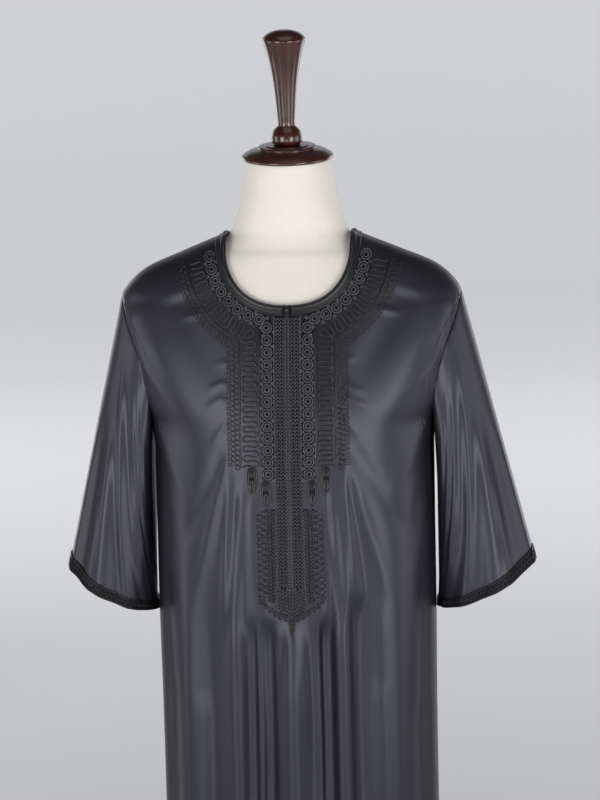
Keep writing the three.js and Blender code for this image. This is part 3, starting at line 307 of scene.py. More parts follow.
def armhole(t, side):
    """Places on the armhole seam, from the shoulder's tip to the underarm."""
    z = SHOULDER_TIP_Z + (UNDERARM_Z - SHOULDER_TIP_Z) * ease(t)
    ends = (t < 1e-9) | (t > 1 - 1e-9)
    x = np.where(ends, body_half(z), armhole_x(z))
    return np.stack([x, np.where(ends, 0, cloth_y(x, z, side)), z], axis=1)


def ring_places(z, side, shares):
    """Places on the quarter ring at a height, by share of its length from the centre, and that length."""
    turn = np.linspace(0, math.pi / 2, 181)
    power = 2 / body_power(z)
    x = body_half(z) * np.sin(turn) ** power
    y = (-1 if side == "front" else 1) * body_depth[side](z) * np.clip(np.cos(turn), 0, 1) ** power
    line = np.stack([x, y, np.full_like(x, z)], axis=1)
    return spaced(line, shares), np.linalg.norm(np.diff(line, axis=0), axis=1).sum()


def normals_of(grid):
    """Directions out of a grid of points whose rows run down and columns run right, seen from outside."""
    across = np.gradient(grid, axis=1)
    down = np.gradient(grid, axis=0)
    out = np.cross(down, across)
    return out / np.maximum(np.linalg.norm(out, axis=2, keepdims=True), 1e-12)


def crease_rise(creases, x, z):
    """How far creases lift the cloth at places of the front view."""
    rise = np.zeros_like(x)
    for x0, z0, x1, z1, width, height in creases:
        length = math.hypot(x1 - x0, z1 - z0)
        along = ((x - x0) * (x1 - x0) + (z - z0) * (z1 - z0)) / length ** 2
        held = np.clip(along, 0, 1)
        off = np.hypot(x - x0 - held * (x1 - x0), z - z0 - held * (z1 - z0))
        rise += height * np.exp(-(off / width) ** 2) * ease(along / 0.12 + 0.5) * ease((1 - along) / 0.55)
    return rise


def panel(side, neck, over_shoulder, beside_armhole, upper_rows, skirt_rows):
    """The outer face of a panel: rows from the top edge to the hem, columns from right to left."""
    edges = [
        spaced(neckline(np.linspace(0, 1, 241), side), np.linspace(0, 1, neck + 1)),
        spaced(shoulder(np.linspace(0, 1, 241)), np.linspace(0, 1, over_shoulder + 1))[1:],
        spaced(armhole(np.linspace(0, 1, 241), side), np.linspace(0, 1, beside_armhole + 1))[1:],
    ]
    top = np.concatenate(edges)
    shares = np.r_[
        np.linspace(0, EDGE_SHARES["neck"], neck + 1),
        np.linspace(EDGE_SHARES["neck"], EDGE_SHARES["shoulder"], over_shoulder + 1)[1:],
        np.linspace(EDGE_SHARES["shoulder"], 1, beside_armhole + 1)[1:],
    ]
    foot, chest_length = ring_places(CHEST_Z, side, shares)
    t = np.linspace(0, 1, 161)
    half = np.zeros((upper_rows + 1 + skirt_rows, len(top), 3))
    for i, start in enumerate(top):
        z = start[2] + (CHEST_Z - start[2]) * t
        x = foot[i, 0] + (start[0] - foot[i, 0]) * (1 - t) ** (3 if i > neck + over_shoulder else 1.5)
        line = np.stack([x, cloth_y(x, z, side), z], axis=1)
        line[0] = start
        if i == len(top) - 1:
            line = np.stack([body_half(z), 0 * z, z], axis=1)
        half[: upper_rows + 1, i] = spaced(line, np.linspace(0, 1, upper_rows + 1))
    for k in range(skirt_rows):
        z = CHEST_Z + (HEM_Z - CHEST_Z) * (k + 1) / skirt_rows
        half[upper_rows + 1 + k] = ring_places(z, side, shares)[0]
    grid = np.concatenate([half[:, :0:-1] * (-1, 1, 1), half], axis=1)
    share = np.r_[shares[:0:-1], shares][None, :]
    along = np.r_[-shares[:0:-1], shares][None, :] * chest_length
    z = grid[:, :, 2]
    rise = np.zeros_like(z)
    for at, width, height, start, full in FOLDS[side]:
        growth = SKIRT_GROWTH["share"] * ease((SKIRT_GROWTH["from"] - z) / SKIRT_GROWTH["over"])
        grown = ease((start - z) / (start - full)) * (1 + growth)
        rise += height * grown * np.exp(-((along - at) / width) ** 2)
    rise *= 1 - ease((share - SIDE_FADE["from"]) / SIDE_FADE["over"])
    power, depth = body_power(z), body_depth[side](z)
    flat_out = np.stack([
        np.sign(grid[:, :, 0]) * (np.abs(grid[:, :, 0]) / body_half(z)) ** (power - 1) / body_half(z),
        np.sign(grid[:, :, 1]) * (np.abs(grid[:, :, 1]) / depth) ** (power - 1) / depth, 0 * z,
    ], axis=2)
    flat_out /= np.maximum(np.linalg.norm(flat_out, axis=2, keepdims=True), 1e-12)
    grid = grid + flat_out * rise[:, :, None]
    out = normals_of(grid) * (1 if side == "front" else -1)
    steps = np.linalg.norm(np.diff(grid, axis=0), axis=2)
    run = np.concatenate([np.zeros((1, grid.shape[1])), np.cumsum(steps, axis=0)])
    sewn = np.abs(share) > EDGE_SHARES["neck"] + 0.005
    beside = np.abs(share) > EDGE_SHARES["shoulder"] + 0.005
    column = np.arange(grid.shape[1])[None, :]
    uneven = np.sin(column * 2.1) * np.sin(column * 0.83 + 1)
    pucker = PUCKER["rise"] * uneven * np.exp(-run / PUCKER["reach"]) * beside
    seam_dip = -SEAM_DIP["depth"] * np.exp(-(run / SEAM_DIP["width"]) ** 2) * sewn
    from_side = (1 - share) * SIDE_DIP["half_width"] / SIDE_DIP["width"]
    side_dip = -SIDE_DIP["depth"] * np.exp(-from_side ** 2) * (z < UNDERARM_Z)
    quiet = ease(run / 12)
    fine = crease_rise(CREASES[side], grid[:, :, 0], z) * np.where(sewn, quiet, 1)
    apart = (0, -SEAM_GAP if side == "front" else SEAM_GAP, 0)
    return grid + out * (pucker + seam_dip + side_dip + fine)[:, :, None] + apart


def shown(name, bm, material, body="garment_and_form"):
    """The object of a finished mesh, in metres, with smooth faces, its finish and the body it rides on."""
    for face in bm.faces:
        face.smooth = True
    mesh = bpy.data.meshes.new(name)
    bm.to_mesh(mesh)
    bm.free()
    piece = bpy.data.objects.new(name, mesh)
    bpy.context.collection.objects.link(piece)
    mesh.materials.append(material)
    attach(piece, body)
    return piece


def cloth_piece(name, grid, material, tube=False, thick=CLOTH):
    """Cloth through a grid of points in millimetres, whose columns run right when its rows run up."""
    rows, columns = grid.shape[:2]
    bm = bmesh.new()
    bm.loops.layers.uv.new("weave")
    bmesh.ops.create_grid(bm, x_segments=columns - 1, y_segments=rows - 1, size=0.5, calc_uvs=True)
    for vertex, place in zip(bm.verts, (grid.reshape(-1, 3) * MM).tolist()):
        vertex.co = place
    if tube:
        bmesh.ops.remove_doubles(bm, verts=bm.verts, dist=1e-6)
    piece = shown(name, bm, material)
    wall = piece.modifiers.new("cloth", "SOLIDIFY")
    wall.thickness = thick * MM
    wall.offset = -1
    return piece


def between(tree, factor, low, high):
    """A ramp from one colour to another, by a grain."""
    ramp = tree.nodes.new("ShaderNodeValToRGB")
    ramp.color_ramp.elements[0].position = 0.3
    ramp.color_ramp.elements[1].position = 0.7
    ramp.color_ramp.elements[0].color = (*low, 1)
    ramp.color_ramp.elements[1].color = (*high, 1)
    tree.links.new(factor, ramp.inputs["Fac"])
    return ramp.outputs["Color"]


satin, satin_tree, satin_shader = finish_of("charcoal_satin", (0.010, 0.010, 0.0135), 0.41, specular=0.5)
satin_tree.links.new(
    between(satin_tree, grain(satin_tree, 5, (1, 1, 0.4)), (0.009, 0.009, 0.0125), (0.014, 0.014, 0.019)),
    satin_shader.inputs["Base Color"],
)
satin_shader.inputs["Specular Tint"].default_value = (0.84, 0.84, 1.0, 1)
relief(satin_tree, satin_shader, grain(satin_tree, 1600, (1, 1, 0.3), 1), 0.00004, 0.5)

front = panel("front", 30, 40, 28, 74, 140)
back = panel("back", 20, 34, 24, 56, 120)
front_panel = cloth_piece("satin_front", front[::-1], satin)
back_panel = cloth_piece("satin_back", back, satin)
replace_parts(front_panel, "front_panel")
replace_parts(back_panel, "back_panel")


# Sleeves
# Two short straight tubes of the same satin, set into the armholes, open at the elbow. They hang in long soft
# folds that deepen to the cuff. The right one hangs a little closer.
SLEEVE_LENGTH = 300
SLEEVE_SEAM = {"gap": 1.1, "pucker": 0.6, "reach": 9, "dip": 0.8, "width": 3.5}
# each cuff's middle, and its outer end from there, on the +X side
CUFF_PLACES = {
    "left": (np.array((251.3, -4, 1012.5)), np.array((63.5, 0, 31))),
    "right": (np.array((245.7, -4, 1011)), np.array((57.9, 0, 29.5))),
}
CUFF = {"depth": 58, "sag": 8}
# degrees round the tube from its outer line, front first; width in degrees; rise
SLEEVE_FOLDS = [
    (38, 15, -2), (66, 16, 2.5), (98, 15, -2), (128, 15, 2), (232, 17, 2.5), (268, 17, -2.5), (308, 18, 2.5),
]
# long soft creases: degrees at the armhole and at the cuff, width, rise, share of the length where it starts
STREAKS = [
    (78, 168, 5, 1.7, 0.05), (64, 154, 3.5, 1.9, 0.1), (44, 120, 5.5, 2.4, 0.05), (32, 82, 9, 2.8, 0.3),
    (71, 161, 3, -1.3, 0.1), (54, 137, 7, -2.2, 0.1), (38, 101, 7, -2, 0.3), (20, 50, 10, -1.7, 0.3),
    (26, 64, 4, 1, 0.5), (10, 20, 6, 1.2, 0.4), (100, 176, 6, 1.5, 0.1), (300, 226, 6, 2, 0.1),
    (318, 262, 6, 1.8, 0.1), (335, 300, 7, 1.8, 0.2), (290, 208, 5, -1.6, 0.1), (308, 244, 6, -1.9, 0.1),
    (328, 282, 7, -1.7, 0.2), (345, 330, 6, -1.2, 0.4),
]


def sleeve_grid(side, turned, rings=84, count=132):
    """The outer face of a sleeve on the +X side; turned shifts its creases from those of the other sleeve."""
    centre, across = CUFF_PLACES[side]
    share = np.linspace(0, 1, count // 2 + 1)
    fronts = spaced(armhole(np.linspace(0, 1, 241), "front"), share)
    backs = spaced(armhole(np.linspace(0, 1, 241), "back"), share)
    start = np.concatenate([fronts, backs[-2:0:-1]])
    turn = np.arange(count) * 2 * math.pi / count
    bow = np.stack([0 * turn, -CUFF["depth"] * np.sin(turn), -CUFF["sag"] * np.sin(turn) ** 2], axis=1)
    hem = centre + across * np.cos(turn)[:, None] + bow
    t = np.linspace(0, 1, rings + 1)[:, None, None]
    plain = start[None] * (1 - t) + hem[None] * t
    plain[0] += (hem - start) * (SLEEVE_SEAM["gap"] / np.linalg.norm(hem - start, axis=1))[:, None]
    closed = np.concatenate([plain[:, -1:], plain, plain[:, :1]], axis=1)
    out = -normals_of(closed)[:, 1:-1]
    middle = plain.mean(axis=1, keepdims=True)
    out *= np.sign((out * (plain - middle)).sum(axis=2).mean())
    degrees = np.degrees(turn)[None, :]
    down = t[:, :, 0]
    rise = np.zeros((rings + 1, count))
    for at, width, height in SLEEVE_FOLDS:
        rise += height * ease(down) * np.exp(-((degrees - at) / width) ** 2)
    for n, (above, below, width, height, since) in enumerate(STREAKS):
        at = above + (below - above) * down + turned * (3 * math.sin(n * 2.3) + 4 * down * math.sin(n * 1.7))
        rise += height * ease((down - since) / 0.3) * np.exp(-((degrees - at) / width) ** 2)
    column = np.arange(count)[None, :]
    off = down * SLEEVE_LENGTH
    uneven = np.sin(column * 1.9) * np.sin(column * 0.61)
    rise += SLEEVE_SEAM["pucker"] * uneven * np.exp(-off / SLEEVE_SEAM["reach"])
    rise -= SLEEVE_SEAM["dip"] * np.exp(-(off / SLEEVE_SEAM["width"]) ** 2)
    grid = plain + out * rise[:, :, None]
    return np.concatenate([grid, grid[:, :1]], axis=1)


def other_side(grid):
    """The same grid on the other side, with its columns turned round so that it still faces out."""
    return grid[:, ::-1] * (-1, 1, 1)


sleeve_left = sleeve_grid("left", 0.0)
sleeve_right = other_side(sleeve_grid("right", 1.0))
for name, grid in (("left", sleeve_left), ("right", sleeve_right)):
    sleeve = cloth_piece(f"satin_sleeve_{name}", grid, satin, tube=True)
    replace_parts(sleeve, f"sleeve_{name}")


# Cuff braids
# A flat black braid, 13 mm wide, sewn over each sleeve's edge, with two cords along both rims and a zigzag
# between them.
BRAID_ROWS = 9
BAND_HEIGHT, CUFF_CORD_HEIGHT, CUFF_CORD = 0.9, 1.5, 1.3
ZIGZAG = {"points": 240, "low": 6, "high": 2}  # rows of the braid that it runs between
thread, thread_tree, thread_shader = finish_of("black_thread", (0.004, 0.004, 0.0045), 0.3, specular=0.55)
thread_tree.links.new(
    between(thread_tree, grain(thread_tree, 620), (0.0005, 0.0005, 0.0007), (0.016, 0.016, 0.020)),
    thread_shader.inputs["Base Color"],
)
relief(thread_tree, thread_shader, grain(thread_tree, 1500, (1, 1, 1), 2), 0.0003, 0.8)
ground_thread, bed_tree, bed_shader = finish_of(
    "black_stitched_ground", (0.002, 0.002, 0.0025), 0.7, specular=0.15
)
bed_tree.links.new(
    between(bed_tree, grain(bed_tree, 600), (0.0004, 0.0004, 0.0006), (0.012, 0.012, 0.015)),
    bed_shader.inputs["Base Color"],
)
relief(bed_tree, bed_shader, grain(bed_tree, 700, (1, 1, 0.5), 3), 0.0006, 1.0)


def cord_piece(name, strands, thickness, material=thread, roundness=1):
    """Cords sewn down along lines of points in millimetres; a closed line joins its ends."""
    curve = bpy.data.curves.new(name, "CURVE")
    curve.dimensions = "3D"
    curve.bevel_depth = thickness / 2 * MM
    curve.bevel_resolution = roundness
    curve.use_fill_caps = True
    for points, closed in strands:
        line = curve.splines.new("POLY")
        line.points.add(len(points) - 1)
        line.points.foreach_set("co", np.c_[np.asarray(points) * MM, np.ones(len(points))].ravel())
        line.use_cyclic_u = closed
    piece = bpy.data.objects.new(name, curve)
    bpy.context.collection.objects.link(piece)
    curve.materials.append(material)
    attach(piece, "garment_and_form")
    return piece


def band_grid(grid, height):
    """Rows of points moved out of a tube by a height for each row."""
    wide = np.concatenate([grid[:, -2:-1], grid, grid[:, 1:2]], axis=1)
    out = normals_of(wide)[:, 1:-1]
    out *= np.sign((out * (grid - grid.mean(axis=1, keepdims=True))).sum(axis=2).mean())
    return grid + out * np.asarray(height)[:, None, None]


def round_row(row):
    """Evenly spaced places on a closed row of points."""
    return spaced(np.concatenate([row, row[:1]]), np.linspace(0, 1, ZIGZAG["points"] + 1)[:-1])


for name, grid in (("left", sleeve_left), ("right", sleeve_right)):
    rim = grid[-1] + (grid[-1] - grid[-4]) * 0.02
    top = grid[-1] + (grid[-5] - grid[-1]) * 0.95
    t = np.linspace(0, 1, BRAID_ROWS)[:, None, None]
    strip = top[None] * (1 - t) + rim[None] * t
    flat = band_grid(strip, [BAND_HEIGHT] * BRAID_ROWS)
    band = cloth_piece(f"cuff_band_{name}", flat, ground_thread, True, 0.7)
    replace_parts(band, f"cuff_braid_{name}")
    raised = band_grid(strip, [CUFF_CORD_HEIGHT] * BRAID_ROWS)
    low, high = round_row(raised[ZIGZAG["low"]]), round_row(raised[ZIGZAG["high"]])
    wave = 0.5 + 0.5 * np.cos(np.arange(ZIGZAG["points"]) * math.pi / 2)[:, None]
    strands = [(raised[k][:-1], True) for k in (0, 1, BRAID_ROWS - 2, BRAID_ROWS - 1)]
    strands.append((low * wave + high * (1 - wave), True))
    cord_piece(f"cuff_cords_{name}", strands, CUFF_CORD)


# Neck binding
# A black braid round the neck, turned over the cut edge as a smooth roll, with three thin cords beside it.
# Its two ends meet at the zip.
BINDING = {"inner": 0.7, "width": 12.6, "base": 0.9, "columns": 34}
ROLL = {"at": 3.4, "half": 2.9, "height": 1.5}
# of each cord across the braid: place, half width, height
BINDING_CORDS = ((7.3, 0.7, 0.8), (9.1, 0.7, 0.8), (11.7, 0.95, 1.2))
BINDING_ENDS = {"beside": 3.4, "top": 1393.6, "bottom": 1380, "height": 1.3, "cord": 1.6}


def surface_of(grid):
    """A grid's faces, to lay trimmings on."""
    rows, columns = grid.shape[:2]
    index = np.arange(rows * columns).reshape(rows, columns)
    quads = np.stack([index[:-1, :-1], index[1:, :-1], index[1:, 1:], index[:-1, 1:]], axis=2).reshape(-1, 4)
    return BVHTree.FromPolygons(grid.reshape(-1, 3).tolist(), quads.tolist())


front_surface = surface_of(front)
back_surface = surface_of(back)


def laid(x, z, height, side="front"):
    """A place straight behind a point of the front view, at a height off the satin, and the way out of it."""
    surface, way = (front_surface, 1) if side == "front" else (back_surface, -1)
    hit, out, _, _ = surface.ray_cast(Vector((x, -way * 400, z)), Vector((0, way, 0)))
    if hit is None:
        hit, out, _, _ = surface.find_nearest(Vector((x, cloth_y(x, z, side), z)))
    out = out if out.y * way < 0 else -out
    return hit + out * height, out


def neck_offset(t, offset, side="front"):
    """A place in the front view beside the neckline, and the direction along it."""
    step = 1e-3
    a, b = neckline(np.array([max(0, t - step), min(1, t + step)]), side)[:, [0, 2]]
    along = (b - a) / np.linalg.norm(b - a)
    x, _, z = neckline(np.array([t]), side)[0]
    return np.array((x + offset * along[1], z - offset * along[0])), along


def binding_height(offset):
    """The braid's relief across its width: the roll, then three cords."""
    roll = ROLL["height"] * math.sqrt(max(0, 1 - ((offset - ROLL["at"]) / ROLL["half"]) ** 2))
    cords = sum(
        height * math.sqrt(max(0, 1 - ((offset - at) / half) ** 2)) for at, half, height in BINDING_CORDS
    )
    return BINDING["base"] + roll + cords


offsets = np.linspace(BINDING["inner"], BINDING["width"], BINDING["columns"])
halves = {"front": [], "back": []}
for side, from_t, count in (("front", 0.028, 72), ("back", 0.0, 48)):
    for t in np.linspace(from_t, 1, count + 1):
        row = []
        for offset in offsets:
            (x, z), _ = neck_offset(t, offset, side)
            point, _ = laid(x, z, binding_height(offset), side)
            row.append(np.array(point))
        halves[side].append(row)
right_front = np.array(halves["front"])
right_back = np.array(halves["back"])
seam_line = (right_front[-1] + right_back[-1]) / 2 + (0, 0, 0.3)
seam_line[:, 1] = 0
right_front[-1] = right_back[-1] = seam_line
right_way = np.concatenate([right_front, right_back[-2::-1]])
whole = np.concatenate([right_way, (right_way * (-1, 1, 1))[-2::-1]])
binding = cloth_piece("binding_braid", whole, thread, thick=0.5)
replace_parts(binding, "neck_binding")
tips = []
for sign in (-1, 1):
    heights = np.linspace(BINDING_ENDS["top"], BINDING_ENDS["bottom"], 8)
    tips.append(([laid(sign * BINDING_ENDS["beside"], z, BINDING_ENDS["height"])[0] for z in heights], False))
cord_piece("binding_ends", tips, BINDING_ENDS["cord"])


# Braided yoke
# Cords of black thread laid on the satin from each shoulder round the neck and down the chest: rows of
# straight cord, three staggered rows of small rings as the outer edge, and two nested drops hanging at the
# foot.
YOKE = {"end": 1458, "slope": -0.3, "bottom": 1190}
YOKE_CORD, YOKE_CORD_HEIGHT, YOKE_CORD_STEP = 1.5, 0.6, 3.0
# distance from the neckline, distance from the middle on the chest
CORD_ROWS = [(28.6, 34.4), (30.7, 36.2), (51.6, 60.4), (53.2, 62.0)]
# the same two, radius, height of the row's end over the yoke's
RING_ROWS = [(55.6, 65.0, 2.7, 0), (61.4, 70.6, 2.7, 2), (66.2, 75.4, 1.9, 4)]
RING_STEP = 6.4
# distance from the middle, top, bottom, half width
PODS = [(47, 1192, 1158, 7.8), (29.5, 1175, 1141, 7.8)]
POD_CORD, POD_CORD_HEIGHT, POD_RING_HEIGHT, POD_GROUND_HEIGHT = 2.1, 0.9, 1.5, 0.5


def braid_path(offset, column, bottom, step):
    """Evenly spaced places, and directions along, from the shoulder round the neck and down the chest."""
    arc = []
    for t in np.arange(0.97, 0, -0.004):
        p, _ = neck_offset(t, offset)
        if p[1] > YOKE["end"] + YOKE["slope"] * (p[0] - NECK_HALF):
            continue
        if p[0] < column:
            break
        arc.append(p)
    turn_from = max(0, len(arc) - 12)
    start, knee, end = arc[turn_from], np.array((column, arc[-1][1])), np.array((column, arc[-1][1] - 12))
    bend = [start * (1 - t) ** 2 + knee * 2 * t * (1 - t) + end * t * t for t in np.linspace(0, 1, 9)]
    line = np.array([*arc[:turn_from], *bend, (column, bottom)])
    run = np.r_[0, np.cumsum(np.linalg.norm(np.diff(line, axis=0), axis=1))]
    count = max(2, round(run[-1] / step))
    goal = np.linspace(0, run[-1], count + 1)
    places = np.stack([np.interp(goal, run, line[:, k]) for k in range(2)], axis=1)
    along = np.gradient(places, axis=0)
    return places, along / np.linalg.norm(along, axis=1, keepdims=True)


def ring(x, z, wide, tall, height, count=12, from_degrees=0):
    """A closed round of cord seen from the front."""
    turn = np.linspace(0, 2 * math.pi, count + 1)[:-1] + math.radians(from_degrees)
    return [laid(x + wide * math.cos(a), z + tall * math.sin(a), height)[0] for a in turn], True


def ground_patch(name, outline, material=ground_thread, height=0.55, step=2.0):
    """A patch of stitched ground: rows between two edges, given by height, laid on the satin."""
    low, high = outline[0][0], outline[-1][0]
    rows = np.arange(low, high + 0.01, (high - low) / round((high - low) / step))
    marks = np.array(outline)
    left, right = np.interp(rows, marks[:, 0], marks[:, 1]), np.interp(rows, marks[:, 0], marks[:, 2])
    count = 1 + round(float((right - left).max()) / step)
    grid = np.array([
        [np.array(laid(a + (b - a) * k / (count - 1), z, height)[0]) for k in range(count)]
        for z, a, b in zip(rows, left, right)
    ])
    return cloth_piece(name, grid, material, thick=0.5)


def drop_outline(x, middle, half, tall, height, count=26):
    """A closed round of cord that narrows towards its foot."""
    turn = np.linspace(0, 2 * math.pi, count + 1)[:-1]
    return [laid(x + half * math.sin(a) * (0.84 + 0.16 * math.cos(a)), middle + tall * math.cos(a), height)[0]
            for a in turn], True


def pod_cords(x, top, bottom, half):
    """The cords of one hanging drop: two outlines, a wheel in its upper part and a small drop below."""
    middle, tall = (top + bottom) / 2, (top - bottom) / 2
    wheel_z = middle + tall * 0.4
    return [
        drop_outline(x, middle, half, tall, POD_CORD_HEIGHT),
        drop_outline(x, middle - 0.5, half - 2.6, tall - 3, POD_CORD_HEIGHT),
        ring(x, wheel_z, 3.2, 3.2, POD_RING_HEIGHT, 14),
        ring(x, wheel_z, 1.2, 1.2, POD_RING_HEIGHT, 8),
        drop_outline(x, middle - tall * 0.4, 1.9, tall * 0.34, POD_CORD_HEIGHT),
    ]


def pod_edges(x, top, bottom, half, steps=8):
    """Heights, left and right edges of the stitched ground under a drop."""
    edges = []
    for k in range(steps + 1):
        reach = math.sin(math.pi * (0.06 + 0.88 * k / steps)) * half
        edges.append((bottom + (top - bottom) * k / steps, x - reach, x + reach))
    return edges


cord_lines = [braid_path(offset, column, YOKE["bottom"], YOKE_CORD_STEP)[0] for offset, column in CORD_ROWS]
small_rings = []
for n, (offset, column, radius, rise) in enumerate(RING_ROWS):
    places, _ = braid_path(offset, column, YOKE["bottom"] + rise, RING_STEP)
    if n == 1:
        places = (places[1:] + places[:-1]) / 2
    small_rings += [(x, z, radius) for x, z in places]

for name, sign in (("left", 1), ("right", -1)):
    strands = [([laid(sign * x, z, YOKE_CORD_HEIGHT)[0] for x, z in line], False) for line in cord_lines]
    strands += [ring(sign * x, z, radius, radius, YOKE_CORD_HEIGHT, 10) for x, z, radius in small_rings]
    pods = []
    for x, top, bottom, half in PODS:
        pods += pod_cords(sign * x, top, bottom, half)
        edges = pod_edges(sign * x, top, bottom, half)
        drop = ground_patch(f"pod_ground_{name}_{int(x)}", edges, height=POD_GROUND_HEIGHT)
        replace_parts(drop, f"yoke_{name}")
    cord_piece(f"yoke_pods_{name}", pods, POD_CORD)
    yoke = cord_piece(f"yoke_cords_{name}", strands, YOKE_CORD)
    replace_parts(yoke, f"yoke_{name}")


# Serpentine cords
# One thicker round cord on each side, laid in close even bends between the rows of straight cord. Its turns
# bulge so that neighbours nearly touch.
SERPENTINE = {
    "offset": 40, "column": 48.5, "bottom": 1190, "step": 0.85, "reach": 9.0, "pitch": 12.4, "bulge": 1.9,
    "height": 1.0, "cord": 2.5,
}
places, along = braid_path(
    SERPENTINE["offset"], SERPENTINE["column"], SERPENTINE["bottom"], SERPENTINE["step"]
)
across = np.stack([-along[:, 1], along[:, 0]], axis=1)
phase = np.arange(len(places)) * SERPENTINE["step"] * 2 * math.pi / SERPENTINE["pitch"]
meander = (
    places + across * (SERPENTINE["reach"] * np.cos(phase))[:, None]
    + along * (SERPENTINE["bulge"] * np.sin(2 * phase))[:, None]
)
for name, sign in (("left", 1), ("right", -1)):
    line = [laid(sign * x, z, SERPENTINE["height"])[0] for x, z in meander]
    snake = cord_piece(f"serpentine_cord_{name}", [(line, False)], SERPENTINE["cord"], roundness=2)
    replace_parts(snake, f"serpentine_{name}")


# Rosettes
# A row of wheels of cord, each two nested rounds, beside the zip's strips from the shoulder down. They lie
# on a stitched bed, with a small ring on both sides between two wheels.
ROSETTES = {
    "offset": 21, "column": 25.8, "bottom": 1182, "pitch": 15.4, "radii": (6.3, 3.2), "height": 0.7,
    "cord": 1.7, "side": 7.0, "side_radius": 1.5, "side_height": 0.6,
}
ROSETTE_BED = {"rows": (-8, -5, -2, 1, 4, 7.4), "past_end": 7, "step": 3.0, "height": 0.5, "thick": 0.45}
# Black thread with painted glints: a fine grain speckles its colour from black to light grey, and the grey
# speckles are painted highlights on the cords.
painted_glint_thread, painted_glint_tree, painted_glint_shader = finish_of("painted_glint_thread", (0.10, 0.10, 0.11), 0.35, specular=0.7)
painted_glint_tree.links.new(
    between(painted_glint_tree, grain(painted_glint_tree, 560), (0.0012, 0.0012, 0.0016), (0.110, 0.110, 0.128)),
    painted_glint_shader.inputs["Base Color"],
)
relief(painted_glint_tree, painted_glint_shader, grain(painted_glint_tree, 1500, (1, 1, 1), 2), 0.0003, 0.8)
bed, bed_along = braid_path(
    ROSETTES["offset"], ROSETTES["column"], ROSETTES["bottom"] - ROSETTE_BED["past_end"], ROSETTE_BED["step"]
)
bed_across = np.stack([-bed_along[:, 1], bed_along[:, 0]], axis=1)
places, along = braid_path(ROSETTES["offset"], ROSETTES["column"], ROSETTES["bottom"], ROSETTES["pitch"])
for name, sign in (("left", 1), ("right", -1)):
    rows = []
    for off in ROSETTE_BED["rows"]:
        line = bed + bed_across * off
        rows.append([np.array(laid(sign * x, z, ROSETTE_BED["height"])[0]) for x, z in line])
    bed_grid = np.array(rows[::sign])
    field = cloth_piece(
        f"rosette_bed_{name}", bed_grid, ground_thread, thick=ROSETTE_BED["thick"]
    )
    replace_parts(field, f"rosettes_{name}")
    strands = []
    for (x, z), (ax, az) in zip(places, along):
        strands += [ring(sign * x, z, r, r, ROSETTES["height"], 8 + 2 * int(r)) for r in ROSETTES["radii"]]
        half = ROSETTES["pitch"] / 2
        for off in (-ROSETTES["side"], ROSETTES["side"]):
            beside_x, beside_z = x + ax * half - az * off, z + az * half + ax * off
            radius = ROSETTES["side_radius"]
            strands.append(ring(sign * beside_x, beside_z, radius, radius, ROSETTES["side_height"], 8))
    wheels = cord_piece(f"rosette_wheels_{name}", strands, ROSETTES["cord"], painted_glint_thread)
    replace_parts(wheels, f"rosettes_{name}")


# Stitched strips beside the zip
# A dense black ground on each side of the zip, worked over with columns of chain stitch and, along its
# edges, a row of single stitches.
ZIP_SLIT, ZIP_END_Z, STRIP_HALF = 1.7, 1036, 17.2
CHAIN_COLUMNS = (4.6, 9.4, 14.2)
STITCH_LINES = (2.0, 16.8)
CHAIN_CORD = 1.4


def chain(x, low, high, sign, wide=1.8, tall=4.6, height=0.9):
    """A column of chain stitch: a row of small open loops, each a pointed V."""
    loops = []
    for z in np.arange(low, high, tall):
        arms = z + tall * 0.8
        loops.append(([
            laid(sign * (x - wide), arms, height)[0], laid(sign * x, z, height + 0.4)[0],
            laid(sign * (x + wide), arms, height)[0],
        ], False))
    return loops


def running_stitch(x, low, high, pitch=3.4):
    """A row of single stitches, each a short raised bar."""
    bar = ((0, 0.6), (1, 1.2), (2, 0.6))
    starts = np.arange(low, high - 2, pitch)
    return [([laid(x, z + up, height)[0] for up, height in bar], False) for z in starts]


neck_edge_z = [neck_offset(0.03 + 0.01 * k, BINDING["width"] + 0.6)[0] for k in range(28)]


def strip_top(x):
    """Height where a column of the strips meets the neck binding."""
    return float(np.interp(x, [p[0] for p in neck_edge_z], [p[1] for p in neck_edge_z]))


for name, sign in (("left", 1), ("right", -1)):
    inner, outer = sign * ZIP_SLIT, sign * STRIP_HALF
    edges = (min(inner, outer), max(inner, outer))
    ground_top = min(strip_top(ZIP_SLIT), strip_top(STRIP_HALF)) - 0.5
    strip = ground_patch(f"strip_ground_{name}", [(ZIP_END_Z, *edges), (ground_top, *edges)])
    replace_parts(strip, f"placket_{name}")
    strands = []
    for column in CHAIN_COLUMNS:
        strands += chain(column, ZIP_END_Z + 1, strip_top(column) - 2, sign)
    for column in STITCH_LINES:
        strands += running_stitch(sign * column, ZIP_END_Z + 0.8 * (column % 2), strip_top(column))
    cord_piece(f"strip_chains_{name}", strands, CHAIN_CORD, painted_glint_thread, roundness=0)


# Tongue
# Below the zip the stitching goes on as a tongue round the ends of the two strips, edged with two rows of
# rings, and ends in a scalloped foot and a small drop of rings.
TONGUE_TOP = 1137
TONGUE_CHAINS, TONGUE_LINES = (20.8, 26.0), (18.0, 29.4)
# distance from the middle, lowest height of the stitching there
TONGUE_SIDE_FOOT = np.array([(18, 1006), (26, 1010), (32, 1018), (36, 1028)])
TONGUE_MIDDLE_FOOT = np.array([(0, 998), (6, 1000), (18, 1006)])
# height, left edge, right edge of the stitched ground
TONGUE_GROUNDS = {
    "right": [(1016, -29, -17.4), (1026, -31, -17.4), (1137, -31, -17.4)],
    "left": [(1016, 17.4, 29), (1026, 17.4, 31), (1137, 17.4, 31)],
}
TONGUE_FOOT = [(999, -6, 6), (1004, -16, 16), (1016, -17.4, 17.4), (1035, -17.4, 17.4)]
